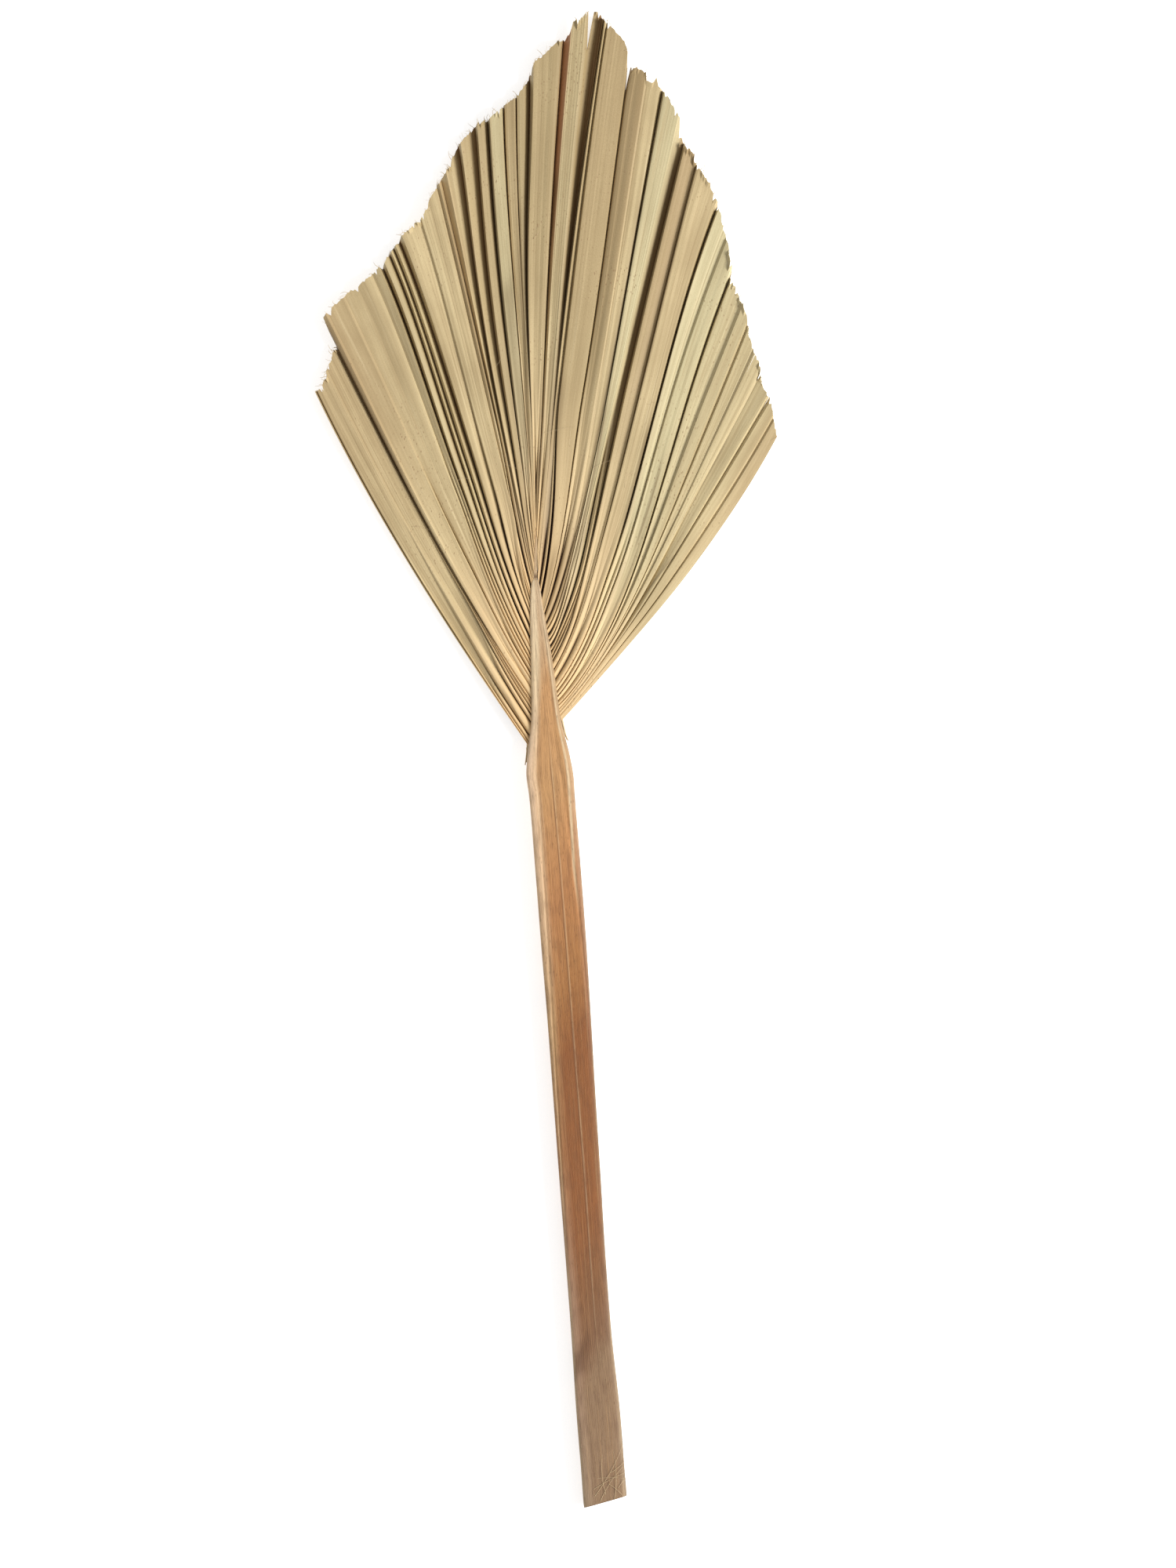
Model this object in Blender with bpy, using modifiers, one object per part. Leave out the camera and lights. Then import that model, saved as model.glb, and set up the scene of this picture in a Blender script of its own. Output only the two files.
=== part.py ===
"""A dried fan palm leaf, its blade cut to a spear, lying on a surface.

The leaf grew as two pieces: a long flattened stalk, which runs on up the middle of the fan
as a tapering rib, and the pleated blade that springs from both edges of that rib.
+X is across the leaf, +Y towards the blade's point and +Z up. The origin is on the surface,
under the middle of the leaf.
"""

from math import cos, radians, sin, tau

import bmesh
import bpy
import numpy as np

MM = 0.001
COLLECTION_NAME = "fan_palm_leaf"

# ---- Stalk, in millimetres ----

# Place along the leaf, centre across it, width, thickness and height of the underside.
STALK_STATIONS = [
    (-545.5, 43.6, 31.6, 15.0, 0.0),
    (-480, 38.4, 32.2, 15.5, 0.0),
    (-425, 33.6, 29.8, 15.5, 0.0),
    (-365, 29.0, 29.6, 15.5, 0.0),
    (-305, 24.8, 30.6, 16.0, 0.0),
    (-250, 21.0, 31.2, 16.0, 0.0),
    (-190, 17.0, 32.2, 16.0, 0.0),
    (-135, 13.0, 33.4, 16.5, 0.0),
    (-75, 8.4, 33.6, 16.5, 0.0),
    (-26, 4.3, 33.8, 16.5, 0.0),
    (-12, 2.9, 35.0, 16.0, 0.0),
    (2, 2.0, 32.0, 15.5, 0.0),
    (27, 0.2, 22.4, 14.0, 0.0),
    (56, -2.0, 18.4, 13.0, 0.0),
    (74, -3.4, 16.0, 12.0, 0.2),
    (97, -5.8, 12.0, 11.0, 0.6),
    (120, -7.8, 8.2, 10.0, 1.2),
    (130, -7.8, 6.2, 9.0, 1.6),
    (136, -7.7, 4.6, 7.5, 2.0),
    (152, -7.5, 4.2, 6.5, 2.6),
    (166, -7.4, 3.4, 5.0, 3.4),
    (171, -7.4, 1.4, 2.5, 4.8),
]
STALK_RINGS = 46
STALK_SIDES = 20
# The cut across the bottom end is slanted by this much from one edge to the other.
CUT_SLANT = 9.0
# A section is a rounded slab: above 2 the exponent flattens it, and at 2 it is an ellipse.
TOP_FLATNESS = 2.9
BELLY_FLATNESS = 2.3

# ---- Blade, in millimetres ----

BLADE_THICKNESS = 0.8
BASE_HEIGHT = 7.0
FLOOR_CLEARANCE = 0.3
PLEAT_DEPTH_AT_BASE = 1.1
PLEAT_DEPTH_AT_CUT = 9.0
# The blade reaches the surface, and its pleats their depth, at these shares of a fold's length.
SETTLES_AT = 0.42
OPENS_AT = 0.65
CUT_EDGE_LIFT = 3.0
MARGIN_LIFT = 4.0
ROWS = 15
# How far a fold keeps its first direction, as a share of its chord.
FOLD_STIFFNESS = 0.95

# Some folds of the fan, left to right. Each has its place across the fan, from -1 to 1, where
# it leaves the stalk (x, y), where it is cut (x, y), and its lean in degrees at both ends.
GUIDE_FOLDS = [
    (-1.00, -13.2, 10, -170, 270, -33, -26),
    (-0.80, -11.8, 48, -164, 325, -36, -27),
    (-0.64, -12.3, 81, -120, 361, -28, -24),
    (-0.58, -12.6, 104, -106, 384, -24, -22),
    (-0.38, -11.8, 130, -76, 425, -12, -13),
    (-0.22, -10.6, 150, -50, 466, -9, -4),
    (-0.07, -10.1, 166, -22, 486, -1, 0),
    (0.00, -7.5, 173.4, -9, 508, -2, 0),
    (0.11, -4.8, 166, 15, 533, 3, 5),
    (0.21, -4.3, 150, 34, 553, 7, 7),
    (0.24, -4.1, 135, 43, 548, 5, 9),
    (0.32, -2.6, 118, 61, 513, 13, 8),
    (0.41, 1.3, 96, 83, 492, 20, 10),
    (0.49, 5.4, 74, 100, 458, 15, 14),
    (0.55, 7.1, 64, 111, 439, 23, 15),
    (0.63, 8.4, 54, 126, 410, 36, 22),
    (0.74, 10.8, 37, 137, 359, 41, 23),
    (0.83, 12.1, 30, 148, 315, 40, 22),
    (0.95, 13.8, 24, 164, 263, 40, 31),
    (1.00, 14.6, 21, 170, 236, 41, 35),
]

# Every fold, left to right: its place across the fan, and its height, from 0 in a valley to
# 1 on the highest ridges. A third number shortens a fold to that share of its length.
FOLDS = [
    # The lobe at the left, torn free of the next pleat near its edge and lying lower
    (-1.000, 0.25), (-0.990, 0.10, 0.985), (-0.967, 0.20, 0.970), (-0.900, 0.45, 0.945),
    (-0.807, 0.05, 0.905),
    # The wide left face, then the bundle of narrow pleats
    (-0.792, 0.95), (-0.737, 0.82), (-0.687, 0.78), (-0.649, 1.00), (-0.639, 0.00),
    (-0.620, 0.90), (-0.615, 0.15), (-0.607, 0.80), (-0.598, 0.10), (-0.588, 0.85),
    (-0.573, 0.00),
    # Two wide faces and the first shaded wall
    (-0.565, 0.90), (-0.500, 0.72), (-0.440, 0.80), (-0.392, 1.00), (-0.373, 0.10),
    # Even pleats up to the central face
    (-0.365, 0.75), (-0.303, 0.00), (-0.295, 0.85), (-0.227, 0.00), (-0.221, 0.80),
    (-0.190, 0.60), (-0.179, 0.00), (-0.168, 0.85), (-0.128, 1.00), (-0.119, 0.05),
    (-0.110, 0.70), (-0.071, 0.85), (-0.065, 0.05), (-0.059, 0.70), (-0.033, 0.65),
    (-0.015, 0.00),
    # The wide central face, the reddish strip, and the deep pleat that parts at the point
    (0.000, 1.00), (0.100, 0.90), (0.108, 0.10), (0.131, 0.75), (0.187, 0.85),
    (0.207, 0.00, 0.945), (0.230, 0.50), (0.235, 0.05), (0.243, 1.00),
    # Wide dusty faces
    (0.312, 0.75), (0.318, 0.45, 0.965), (0.324, 0.70), (0.370, 0.80), (0.405, 0.90),
    (0.411, 0.05), (0.417, 0.85), (0.470, 1.00), (0.493, 0.00), (0.505, 0.80),
    # The right side, whose pleats are shallower towards the margin
    (0.545, 0.50), (0.551, 0.72), (0.625, 0.90), (0.632, 0.00), (0.637, 0.80),
    (0.697, 0.40), (0.701, 0.60), (0.736, 0.85), (0.741, 0.05), (0.747, 0.70),
    (0.799, 0.85), (0.803, 0.60), (0.828, 0.80), (0.833, 0.15), (0.838, 0.70),
    (0.867, 0.50), (0.905, 0.75), (0.909, 0.35), (0.947, 0.70), (0.951, 0.30),
    (1.000, 0.55),
]

# ---- Colours (linear) and finish ----

STALK_COLOUR = (0.36, 0.18, 0.075, 1.0)
BLADE_COLOUR = (0.60, 0.46, 0.25, 1.0)
STALK_ROUGHNESS = 0.55
BLADE_ROUGHNESS = 0.75
SHARP_ANGLE = radians(40)


def clear_objects():
    """Start from an empty scene."""
    for old in list(bpy.data.objects):
        bpy.data.objects.remove(old, do_unlink=True)


def make_material(name, colour, roughness):
    """A dry plant surface: one colour, no metal."""
    material = bpy.data.materials.new(name)
    material.use_nodes = True
    shader = material.node_tree.nodes["Principled BSDF"]
    shader.inputs["Base Color"].default_value = colour
    shader.inputs["Roughness"].default_value = roughness
    shader.inputs["Metallic"].default_value = 0.0
    return material


def mesh_object(name, mesh, material, collection):
    """Put a finished mesh in the leaf's collection, smooth between its sharp folds."""
    mesh.materials.append(material)
    mesh.shade_smooth()
    mesh.set_sharp_from_angle(angle=SHARP_ANGLE)
    piece = bpy.data.objects.new(name, mesh)
    collection.objects.link(piece)
    return piece


def ease(share):
    """Rise smoothly from 0 to 1, and stay at 1 past the end."""
    share = np.clip(share, 0.0, 1.0)
    return share * share * (3.0 - 2.0 * share)


# ---- Stalk ----

def stalk_section(angle, width, thickness):
    """One point of a rounded slab: across, and up from its middle."""
    flatness = TOP_FLATNESS if sin(angle) > 0 else BELLY_FLATNESS
    across = np.sign(cos(angle)) * abs(cos(angle)) ** (2.0 / flatness)
    up = np.sign(sin(angle)) * abs(sin(angle)) ** (2.0 / flatness)
    return 0.5 * width * across, 0.5 * thickness * up


def build_stalk(material, collection):
    """Loft the stalk from its slanted cut end to the tip of the rib inside the fan."""
    stations = np.array(STALK_STATIONS).T
    first, last = stations[0][0], stations[0][-1]
    # The rib narrows fast near its tip, so the stations' own places are kept among the rings.
    places = np.union1d(np.linspace(first, last, STALK_RINGS - len(STALK_STATIONS)), stations[0])

    shape = bmesh.new()
    rings = []
    for place in places:
        centre, width, thickness, underside = [
            np.interp(place, stations[0], column) for column in stations[1:]
        ]
        ring = []
        for side in range(STALK_SIDES):
            across, up = stalk_section(tau * side / STALK_SIDES, width, thickness)
            slant = CUT_SLANT * across / width if place == first else 0.0
            ring.append(shape.verts.new((
                (centre + across) * MM,
                (place + slant) * MM,
                (underside + 0.5 * thickness + up) * MM,
            )))
        rings.append(ring)

    for lower, upper in zip(rings, rings[1:]):
        for side in range(STALK_SIDES):
            following = (side + 1) % STALK_SIDES
            shape.faces.new((lower[following], lower[side], upper[side], upper[following]))
    shape.faces.new(rings[0])
    shape.faces.new(reversed(rings[-1]))
    bmesh.ops.recalc_face_normals(shape, faces=shape.faces)

    mesh = bpy.data.meshes.new("stalk")
    shape.to_mesh(mesh)
    shape.free()
    return mesh_object("stalk", mesh, material, collection)


# ---- Blade ----

def fold_in_plan(place, along):
    """A point on the fold at this place across the fan, along from the stalk (0) to the cut (1).

    Each fold is one cubic that leaves the stalk and meets the cut at its own leans.
    """
    guides = np.array(GUIDE_FOLDS).T
    base_x, base_y, cut_x, cut_y, lean_out, lean_in = [
        np.interp(place, guides[0], column) for column in guides[1:]
    ]
    reach = FOLD_STIFFNESS * np.hypot(cut_x - base_x, cut_y - base_y)
    lean_out, lean_in = np.radians(lean_out), np.radians(lean_in)

    from_base = 2 * along**3 - 3 * along**2 + 1
    leaving = along**3 - 2 * along**2 + along
    arriving = along**3 - along**2
    x = from_base * base_x + (1 - from_base) * cut_x
    y = from_base * base_y + (1 - from_base) * cut_y
    x += reach * (leaving * np.sin(lean_out) + arriving * np.sin(lean_in))
    y += reach * (leaving * np.cos(lean_out) + arriving * np.cos(lean_in))
    return x, y


def fold_height(place, along, height):
    """The fold's height over the surface: pleats are shut at the stalk and open outwards."""
    opening = ease(along / OPENS_AT)
    depth = PLEAT_DEPTH_AT_BASE + (PLEAT_DEPTH_AT_CUT - PLEAT_DEPTH_AT_BASE) * opening
    valley = FLOOR_CLEARANCE + (BASE_HEIGHT - FLOOR_CLEARANCE) * (1 - ease(along / SETTLES_AT))
    lift = CUT_EDGE_LIFT * along**6 + MARGIN_LIFT * along**2 * place**6
    return valley + lift + depth * height


def build_blade(material, collection):
    """Lay a sheet over the folds, then give it its thickness."""
    shape = bmesh.new()
    columns = []
    for place, height, *shortened in FOLDS:
        reach = shortened[0] if shortened else 1.0
        column = []
        for along in np.linspace(0, reach, ROWS):
            x, y = fold_in_plan(place, along)
            z = fold_height(place, along, height)
            column.append(shape.verts.new((x * MM, y * MM, z * MM)))
        columns.append(column)

    for left, right in zip(columns, columns[1:]):
        for row in range(ROWS - 1):
            shape.faces.new((left[row], right[row], right[row + 1], left[row + 1]))

    mesh = bpy.data.meshes.new("blade")
    shape.to_mesh(mesh)
    shape.free()
    blade = mesh_object("blade", mesh, material, collection)

    # The folds are the underside, and the thickness goes on above them.
    skin = blade.modifiers.new("thickness", "SOLIDIFY")
    skin.thickness = BLADE_THICKNESS * MM
    skin.offset = 1.0
    return blade


def main():
    clear_objects()
    collection = bpy.data.collections.new(COLLECTION_NAME)
    bpy.context.scene.collection.children.link(collection)
    build_stalk(make_material("stalk", STALK_COLOUR, STALK_ROUGHNESS), collection)
    build_blade(make_material("blade", BLADE_COLOUR, BLADE_ROUGHNESS), collection)


main()
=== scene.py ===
# %% [markdown]
# # A dried fan palm leaf
#
# This notebook dresses one real-size palm leaf that was dried and cut to a spear. The packed
# model gives its two bodies of solid, the stalk and the blade, and this script lays the fine
# surfaces where they are: a blade with all its pleats, a stalk with its ribs and fibres, and
# the frayed ends that the knife left.
#
# The frame is loaded first, because every size below is measured from it.

# %% Load the frame
from math import pi, tau

import bpy
import numpy as np
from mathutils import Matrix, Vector


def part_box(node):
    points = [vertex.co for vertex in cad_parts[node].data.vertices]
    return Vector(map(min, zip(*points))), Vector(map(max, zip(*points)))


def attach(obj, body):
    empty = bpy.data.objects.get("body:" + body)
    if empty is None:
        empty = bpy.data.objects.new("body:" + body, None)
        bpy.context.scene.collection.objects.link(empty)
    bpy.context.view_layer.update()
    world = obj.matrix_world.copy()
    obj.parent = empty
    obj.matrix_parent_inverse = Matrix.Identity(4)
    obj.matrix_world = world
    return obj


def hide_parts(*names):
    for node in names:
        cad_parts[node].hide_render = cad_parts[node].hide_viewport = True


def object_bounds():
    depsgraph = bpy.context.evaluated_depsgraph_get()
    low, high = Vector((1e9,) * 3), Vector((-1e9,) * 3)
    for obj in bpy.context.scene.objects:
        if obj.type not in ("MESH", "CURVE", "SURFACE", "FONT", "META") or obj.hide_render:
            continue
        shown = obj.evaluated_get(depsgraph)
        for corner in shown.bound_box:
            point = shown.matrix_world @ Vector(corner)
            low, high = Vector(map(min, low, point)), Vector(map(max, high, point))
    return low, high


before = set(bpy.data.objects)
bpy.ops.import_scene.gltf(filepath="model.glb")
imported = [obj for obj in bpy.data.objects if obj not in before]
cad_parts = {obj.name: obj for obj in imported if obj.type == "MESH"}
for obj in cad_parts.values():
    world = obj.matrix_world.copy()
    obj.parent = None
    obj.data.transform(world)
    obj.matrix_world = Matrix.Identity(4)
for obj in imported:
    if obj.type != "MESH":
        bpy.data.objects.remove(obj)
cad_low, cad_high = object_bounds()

MM = 0.001
BODY = "root"
stalk_low, stalk_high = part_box("stalk")
blade_low, blade_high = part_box("blade")
print("CAD box in mm:", [round(v / MM) for v in cad_high - cad_low])
for name, low, high in (("stalk", stalk_low, stalk_high), ("blade", blade_low, blade_high)):
    print(name, "reaches from", round(low.y / MM), "to", round(high.y / MM), "mm along the leaf")

# %% [markdown]
# ## Arithmetic with nodes
#
# Shaders and Geometry Nodes trees are both long sums, and a sum is easier to read as a line of
# Python than as a dozen linked boxes. `Wire` stands for one output socket. Adding, multiplying
# or subtracting wires adds the Math or Vector Math node that does it, `abs` takes the size of
# a number, and the reflected forms make `1 - mask` work too.

# %% Wires
class Wire:
    """An output socket that takes part in arithmetic."""

    def __init__(self, board, socket):
        self.board = board
        self.socket = socket

    def is_vector(self):
        return self.socket.type in ("VECTOR", "RGBA")

    def join(self, operation, first, second):
        """Add the node for one operation, on numbers or on vectors."""
        vectors = [isinstance(term, Wire) and term.is_vector() for term in (first, second)]
        if not any(vectors):
            kind, inputs = "ShaderNodeMath", {0: first, 1: second}
        elif all(vectors) or isinstance(second, tuple):
            kind, inputs = "ShaderNodeVectorMath", {0: first, 1: second}
        else:
            vector, number = (first, second) if vectors[0] else (second, first)
            kind, operation, inputs = "ShaderNodeVectorMath", "SCALE", {0: vector, "Scale": number}
        return self.board.add(kind, {"operation": operation}, inputs)[0]

    def __abs__(self):
        return self.board.add("ShaderNodeMath", {"operation": "ABSOLUTE"}, {0: self})[0]


def overload(symbol, operation):
    """Give Wire one operator, and the reflected form for a number on the left."""
    setattr(Wire, f"__{symbol}__", lambda wire, other: wire.join(operation, wire, other))
    setattr(Wire, f"__r{symbol}__", lambda wire, other: wire.join(operation, other, wire))


overload("add", "ADD")
overload("sub", "SUBTRACT")
overload("mul", "MULTIPLY")
overload("truediv", "DIVIDE")
overload("pow", "POWER")
print("wires can be added, subtracted, multiplied, divided and raised to a power")

# %% [markdown]
# ## Boards
#
# A `Board` is a whole node tree. Its `add` makes any node: first the node's settings, then the
# values or wires of its inputs. What comes back is a `Made`, which gives the node's outputs as
# wires. `rise` and `fall` are smooth steps: most of the masks below are made of them.

# %% Boards
class Made:
    """A node that was added; its outputs are wires, by name or by number."""

    def __init__(self, board, node):
        self.board = board
        self.node = node

    def __getitem__(self, name):
        if isinstance(name, int):
            shown = [socket for socket in self.node.outputs if socket.enabled]
            return Wire(self.board, shown[name])
        return Wire(self.board, self.node.outputs[name])


class Board:
    """A node tree, with one method that adds any node and three for common ones."""

    def __init__(self, tree):
        self.tree = tree
        self.tree.nodes.clear()

    def add(self, kind, settings=None, inputs=None):
        """Add a node with its settings, and give it its inputs."""
        node = self.tree.nodes.new(kind)
        for name, value in (settings or {}).items():
            if name == "stops":
                self.set_stops(node.color_ramp, value)
            else:
                setattr(node, name, value)
        for name, value in (inputs or {}).items():
            socket = self.pick(node, name)
            if isinstance(value, Wire):
                self.tree.links.new(value.socket, socket)
            else:
                socket.default_value = value
        return Made(self, node)

    def pick(self, node, name):
        """An input by number, or by name among the ones that the settings left in use."""
        if isinstance(name, int):
            return node.inputs[name]
        return next(socket for socket in node.inputs if socket.name == name and socket.enabled)

    def set_stops(self, ramp, stops):
        """Give a colour ramp its stops, each a place and a colour."""
        while len(ramp.elements) > 1:
            ramp.elements.remove(ramp.elements[-1])
        for number, (place, colour) in enumerate(stops):
            stop = ramp.elements[0] if number == 0 else ramp.elements.new(place)
            stop.position = place
            stop.color = colour

    def rise(self, value, start, end):
        """A smooth step from 0 at start to 1 at end."""
        return self.add(
            "ShaderNodeMapRange",
            {"interpolation_type": "SMOOTHSTEP"},
            {"Value": value, "From Min": start, "From Max": end},
        )["Result"]

    def fall(self, value, start, end):
        """A smooth step from 1 at start to 0 at end."""
        return 1 - self.rise(value, start, end)

    def vector(self, x=0.0, y=0.0, z=0.0):
        """A vector of three numbers or wires."""
        return self.add("ShaderNodeCombineXYZ", inputs={"X": x, "Y": y, "Z": z})[0]


print("boards ready")

# %% [markdown]
# ## The folds of the blade
#
# A fan palm's blade is one sheet, folded like a paper fan. Every fold runs from the stalk to
# the cut edge, so the blade is described by where each fold starts, where it ends, how it
# leans at both ends, and how high it stands. A few guide folds carry the overall shape, and
# the places in between are interpolated. Heights go from 0, in a valley, to 1, on the highest
# ridge.

# %% Guide folds and fold heights
# Place across the fan, root x and y, cut x and y in mm, and the lean at both ends in degrees.
GUIDE_FOLDS = np.array([
    (-1.00, -11.4, 7, -170, 270, -35, -25),
    (-0.80, -9.4, 47, -164, 325, -36, -27),
    (-0.64, -9.9, 80, -120, 361, -28, -24),
    (-0.58, -10.1, 103, -106, 384, -24, -22),
    (-0.38, -9.3, 128, -76, 425, -12, -13),
    (-0.22, -8.7, 146, -50, 466, -9, -4),
    (-0.07, -8.2, 163, -22, 486, -1, 0),
    (0.00, -7.4, 172, -9, 508, -2, 0),
    (0.11, -6.6, 163, 15, 533, 3, 5),
    (0.21, -6.2, 146, 34, 549, 7, 7),
    (0.24, -6.0, 133, 43, 546, 5, 9),
    (0.32, -4.8, 116, 61, 513, 13, 8),
    (0.41, -0.8, 95, 83, 492, 20, 10),
    (0.49, 3.3, 73, 100, 458, 15, 14),
    (0.55, 5.0, 63, 111, 439, 23, 15),
    (0.63, 6.3, 53, 126, 410, 36, 22),
    (0.74, 8.7, 36, 137, 359, 41, 23),
    (0.83, 9.6, 33, 148, 315, 40, 22),
    (0.95, 10.8, 30, 164, 263, 40, 31),
    (1.00, 11.6, 27, 169.6, 236, 43, 28),
])

# Place across the fan and height, from the torn lobe at the left to the right margin.
FOLDS = [
    (-1, 0.42), (-0.992, 0.2), (-0.985, 0.5), (-0.905, 0.62), (-0.897, 0.56), (-0.824, 0.5),
    (-0.811, 0.2), (-0.8, 0.9), (-0.793, 1), (-0.788, 0.88), (-0.745, 0.86), (-0.74, 0.78),
    (-0.675, 0.8), (-0.667, 0.68), (-0.648, 0.92), (-0.641, 0), (-0.633, 0.92), (-0.625, 0.8),
    (-0.617, 0.1), (-0.612, 0.8), (-0.605, 0.15), (-0.599, 0.85), (-0.588, 0), (-0.578, 0.92),
    (-0.503, 0.72), (-0.495, 0.9), (-0.413, 0.86), (-0.406, 0.76), (-0.396, 1), (-0.386, 0.35),
    (-0.362, 0.8), (-0.303, 0), (-0.293, 0.88), (-0.232, 0), (-0.222, 0.85), (-0.195, 0.6), (-0.182, 0),
    (-0.172, 0.96), (-0.128, 0.96), (-0.121, 0.1), (-0.112, 0.7), (-0.076, 0.85), (-0.07, 0.1),
    (-0.064, 0.7), (-0.037, 0.65), (-0.017, 0), (0, 1), (0.092, 0.88), (0.1, 0.1), (0.13, 0.8),
    (0.188, 0.88), (0.199, 0.8), (0.228, 0.08), (0.2355, 0), (0.238, 0.34), (0.2405, 0.02), (0.2445, 1),
    (0.249, 0.55), (0.254, 0.95), (0.316, 0.8), (0.322, 0.3), (0.328, 0.74), (0.37, 0.95),
    (0.375, 0.86), (0.412, 0.82), (0.419, 0.1), (0.426, 0.96), (0.47, 0.92), (0.5, 0), (0.507, 0.92),
    (0.546, 0.62), (0.551, 0.4), (0.556, 0.96), (0.628, 0.85), (0.636, 0), (0.643, 0.85), (0.69, 0.56),
    (0.697, 0.78), (0.735, 0.8), (0.742, 0.08), (0.748, 0.75), (0.79, 0.62), (0.797, 0.85), (0.82, 0.8),
    (0.826, 0.5), (0.832, 0.7), (0.862, 0.62), (0.869, 0.72), (0.898, 0.66), (0.904, 0.52),
    (0.941, 0.68), (0.947, 0.42), (0.953, 0.72), (0.971, 0.68), (0.975, 0.5), (0.979, 0.66), (1, 0.55),
]
print(len(FOLDS), "folds that stay open to the cut edge")

# %% [markdown]
# ## How the folds wander
#
# The folds don't fan out evenly. Close to the stalk the pleats are shut and crowd together,
# further out some faces open more than others, and so a fold drifts sideways among its
# neighbours. `TRACKS` follows it by its place across the fan at the cut edge, at the middle of
# its length and at the stalk. Many pleats flatten out before they reach the open fan:
# `CREASES` lists those by their place at the stalk, with how deep they are and where they end.
# Some pleats lean out sideways just above the stalk before they turn back, as `SWINGS` says.
# `TEARS` says where the sheet has parted, from which share of the fold's length, and how far
# each side has moved at the edge.

# %% Tracks, short creases and tears
# Place at the cut edge, in the middle and at the stalk, and the length of the bend at the stalk.
TRACKS = np.array([
    (-1, -1, -1, 0.3), (-0.905, -0.915, -0.94, 0.45), (-0.83, -0.83, -0.88, 0.34),
    (-0.8, -0.803, -0.812, 0.3), (-0.745, -0.745, -0.762, 0.3), (-0.667, -0.672, -0.715, 0.45),
    (-0.64, -0.65, -0.668, 0.45), (-0.615, -0.622, -0.643, 0.45), (-0.603, -0.607, -0.622, 0.45),
    (-0.585, -0.583, -0.6, 0.45), (-0.503, -0.515, -0.57, 0.32), (-0.41, -0.415, -0.525, 0.2),
    (-0.385, -0.385, -0.425, 0.45), (-0.303, -0.345, -0.352, 0.3), (-0.23, -0.268, -0.3, 0.3),
    (-0.205, -0.205, -0.285, 0.18), (-0.182, -0.195, -0.225, 0.22), (-0.15, -0.135, -0.16, 0.25),
    (-0.122, -0.122, -0.13, 0.25), (-0.072, -0.075, -0.09, 0.3), (-0.03, -0.058, -0.06, 0.3),
    (0, -0.035, -0.03, 0.3), (0.06, 0.055, 0.04, 0.25), (0.1, 0.095, 0.07, 0.25),
    (0.13, 0.122, 0.11, 0.25), (0.195, 0.19, 0.19, 0.2), (0.245, 0.243, 0.245, 0.3),
    (0.25, 0.254, 0.337, 0.34), (0.322, 0.33, 0.365, 0.4), (0.375, 0.375, 0.392, 0.45),
    (0.42, 0.408, 0.415, 0.3), (0.475, 0.47, 0.455, 0.22), (0.5, 0.5, 0.475, 0.22),
    (0.508, 0.508, 0.53, 0.22), (0.552, 0.548, 0.565, 0.3), (0.636, 0.614, 0.645, 0.25),
    (0.695, 0.658, 0.69, 0.25), (0.742, 0.728, 0.725, 0.22), (0.79, 0.765, 0.77, 0.22),
    (0.825, 0.812, 0.795, 0.22), (0.872, 0.86, 0.84, 0.25), (0.903, 0.888, 0.878, 0.34),
    (0.946, 0.944, 0.925, 0.4), (1, 1, 0.99, 0.55),
])
# Place at the stalk, depth, and the share of the length where the crease has flattened out.
CREASES = [
    (-0.985, 1, 0.2), (-0.962, 1, 0.2), (-0.905, 0.8, 0.16), (-0.878, 0.9, 0.3), (-0.858, 1, 0.32),
    (-0.836, 1, 0.32), (-0.824, 0.8, 0.22), (-0.785, 0.4, 0.1), (-0.738, 1, 0.12), (-0.692, 1, 0.55),
    (-0.545, 0.5, 0.12), (-0.48, 0.5, 0.12), (-0.388, 0.7, 0.16), (-0.255, 0.6, 0.12),
    (-0.18, 0.6, 0.14), (-0.11, 0.7, 0.16), (0.03, 0.9, 0.14), (0.15, 0.7, 0.16), (0.29, 0.7, 0.14),
    (0.378, 1, 0.16), (0.402, 0.8, 0.14), (0.432, 1, 0.16), (0.446, 1, 0.18), (0.462, 1, 0.5),
    (0.492, 1, 0.2), (0.507, 0.8, 0.14), (0.548, 0.8, 0.12), (0.602, 0.6, 0.18), (0.664, 0.7, 0.36),
    (0.705, 0.6, 0.12), (0.758, 0.6, 0.12), (0.818, 1, 0.24),
]
# Place across the fan, and how far a pleat swings out just above the stalk, in the same measure.
SWINGS = np.array([
    (-1, 0), (-0.55, 0), (-0.45, -0.012), (-0.3, 0), (0.3, 0), (0.38, 0.012), (0.43, 0.035),
    (0.5, 0.035), (0.56, 0.012), (0.62, 0), (0.72, 0.01), (0.8, 0.02), (0.9, 0.02), (1, 0),
])
SWINGS_MOST_AT = 0.12
# Place, start as a share of the fold's length, and how far each side moves at the edge, in mm.
TEARS = np.array([
    (-0.805, 0.46, 3.0, 0.0),
    (-0.643, 0.975, -0.2, 0.3),
    (0.206, 0.925, -2.3, 2.0),
    (0.3205, 0.935, -0.9, 2.1),
    (0.741, 0.965, -0.5, 0.4),
    (0.872, 0.94, -0.1, 0.2),
    (0.904, 0.95, -0.4, 0.3),
    (0.946, 0.93, -0.3, 0.3),
])
print(len(CREASES), "creases fade out, and", len(TEARS), "tears reach in from the cut edge")

# %% [markdown]
# ## From folds to columns
#
# The sheet is a grid whose columns follow the folds. Each column carries two heights, one in
# the shut fan and one in the open fan, and the share of the length over which it changes from
# one to the other. A shut pleat has a rounded back and a narrow crease, so its height falls
# slowly and then fast; an open face is flat between two sharp folds.

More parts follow.
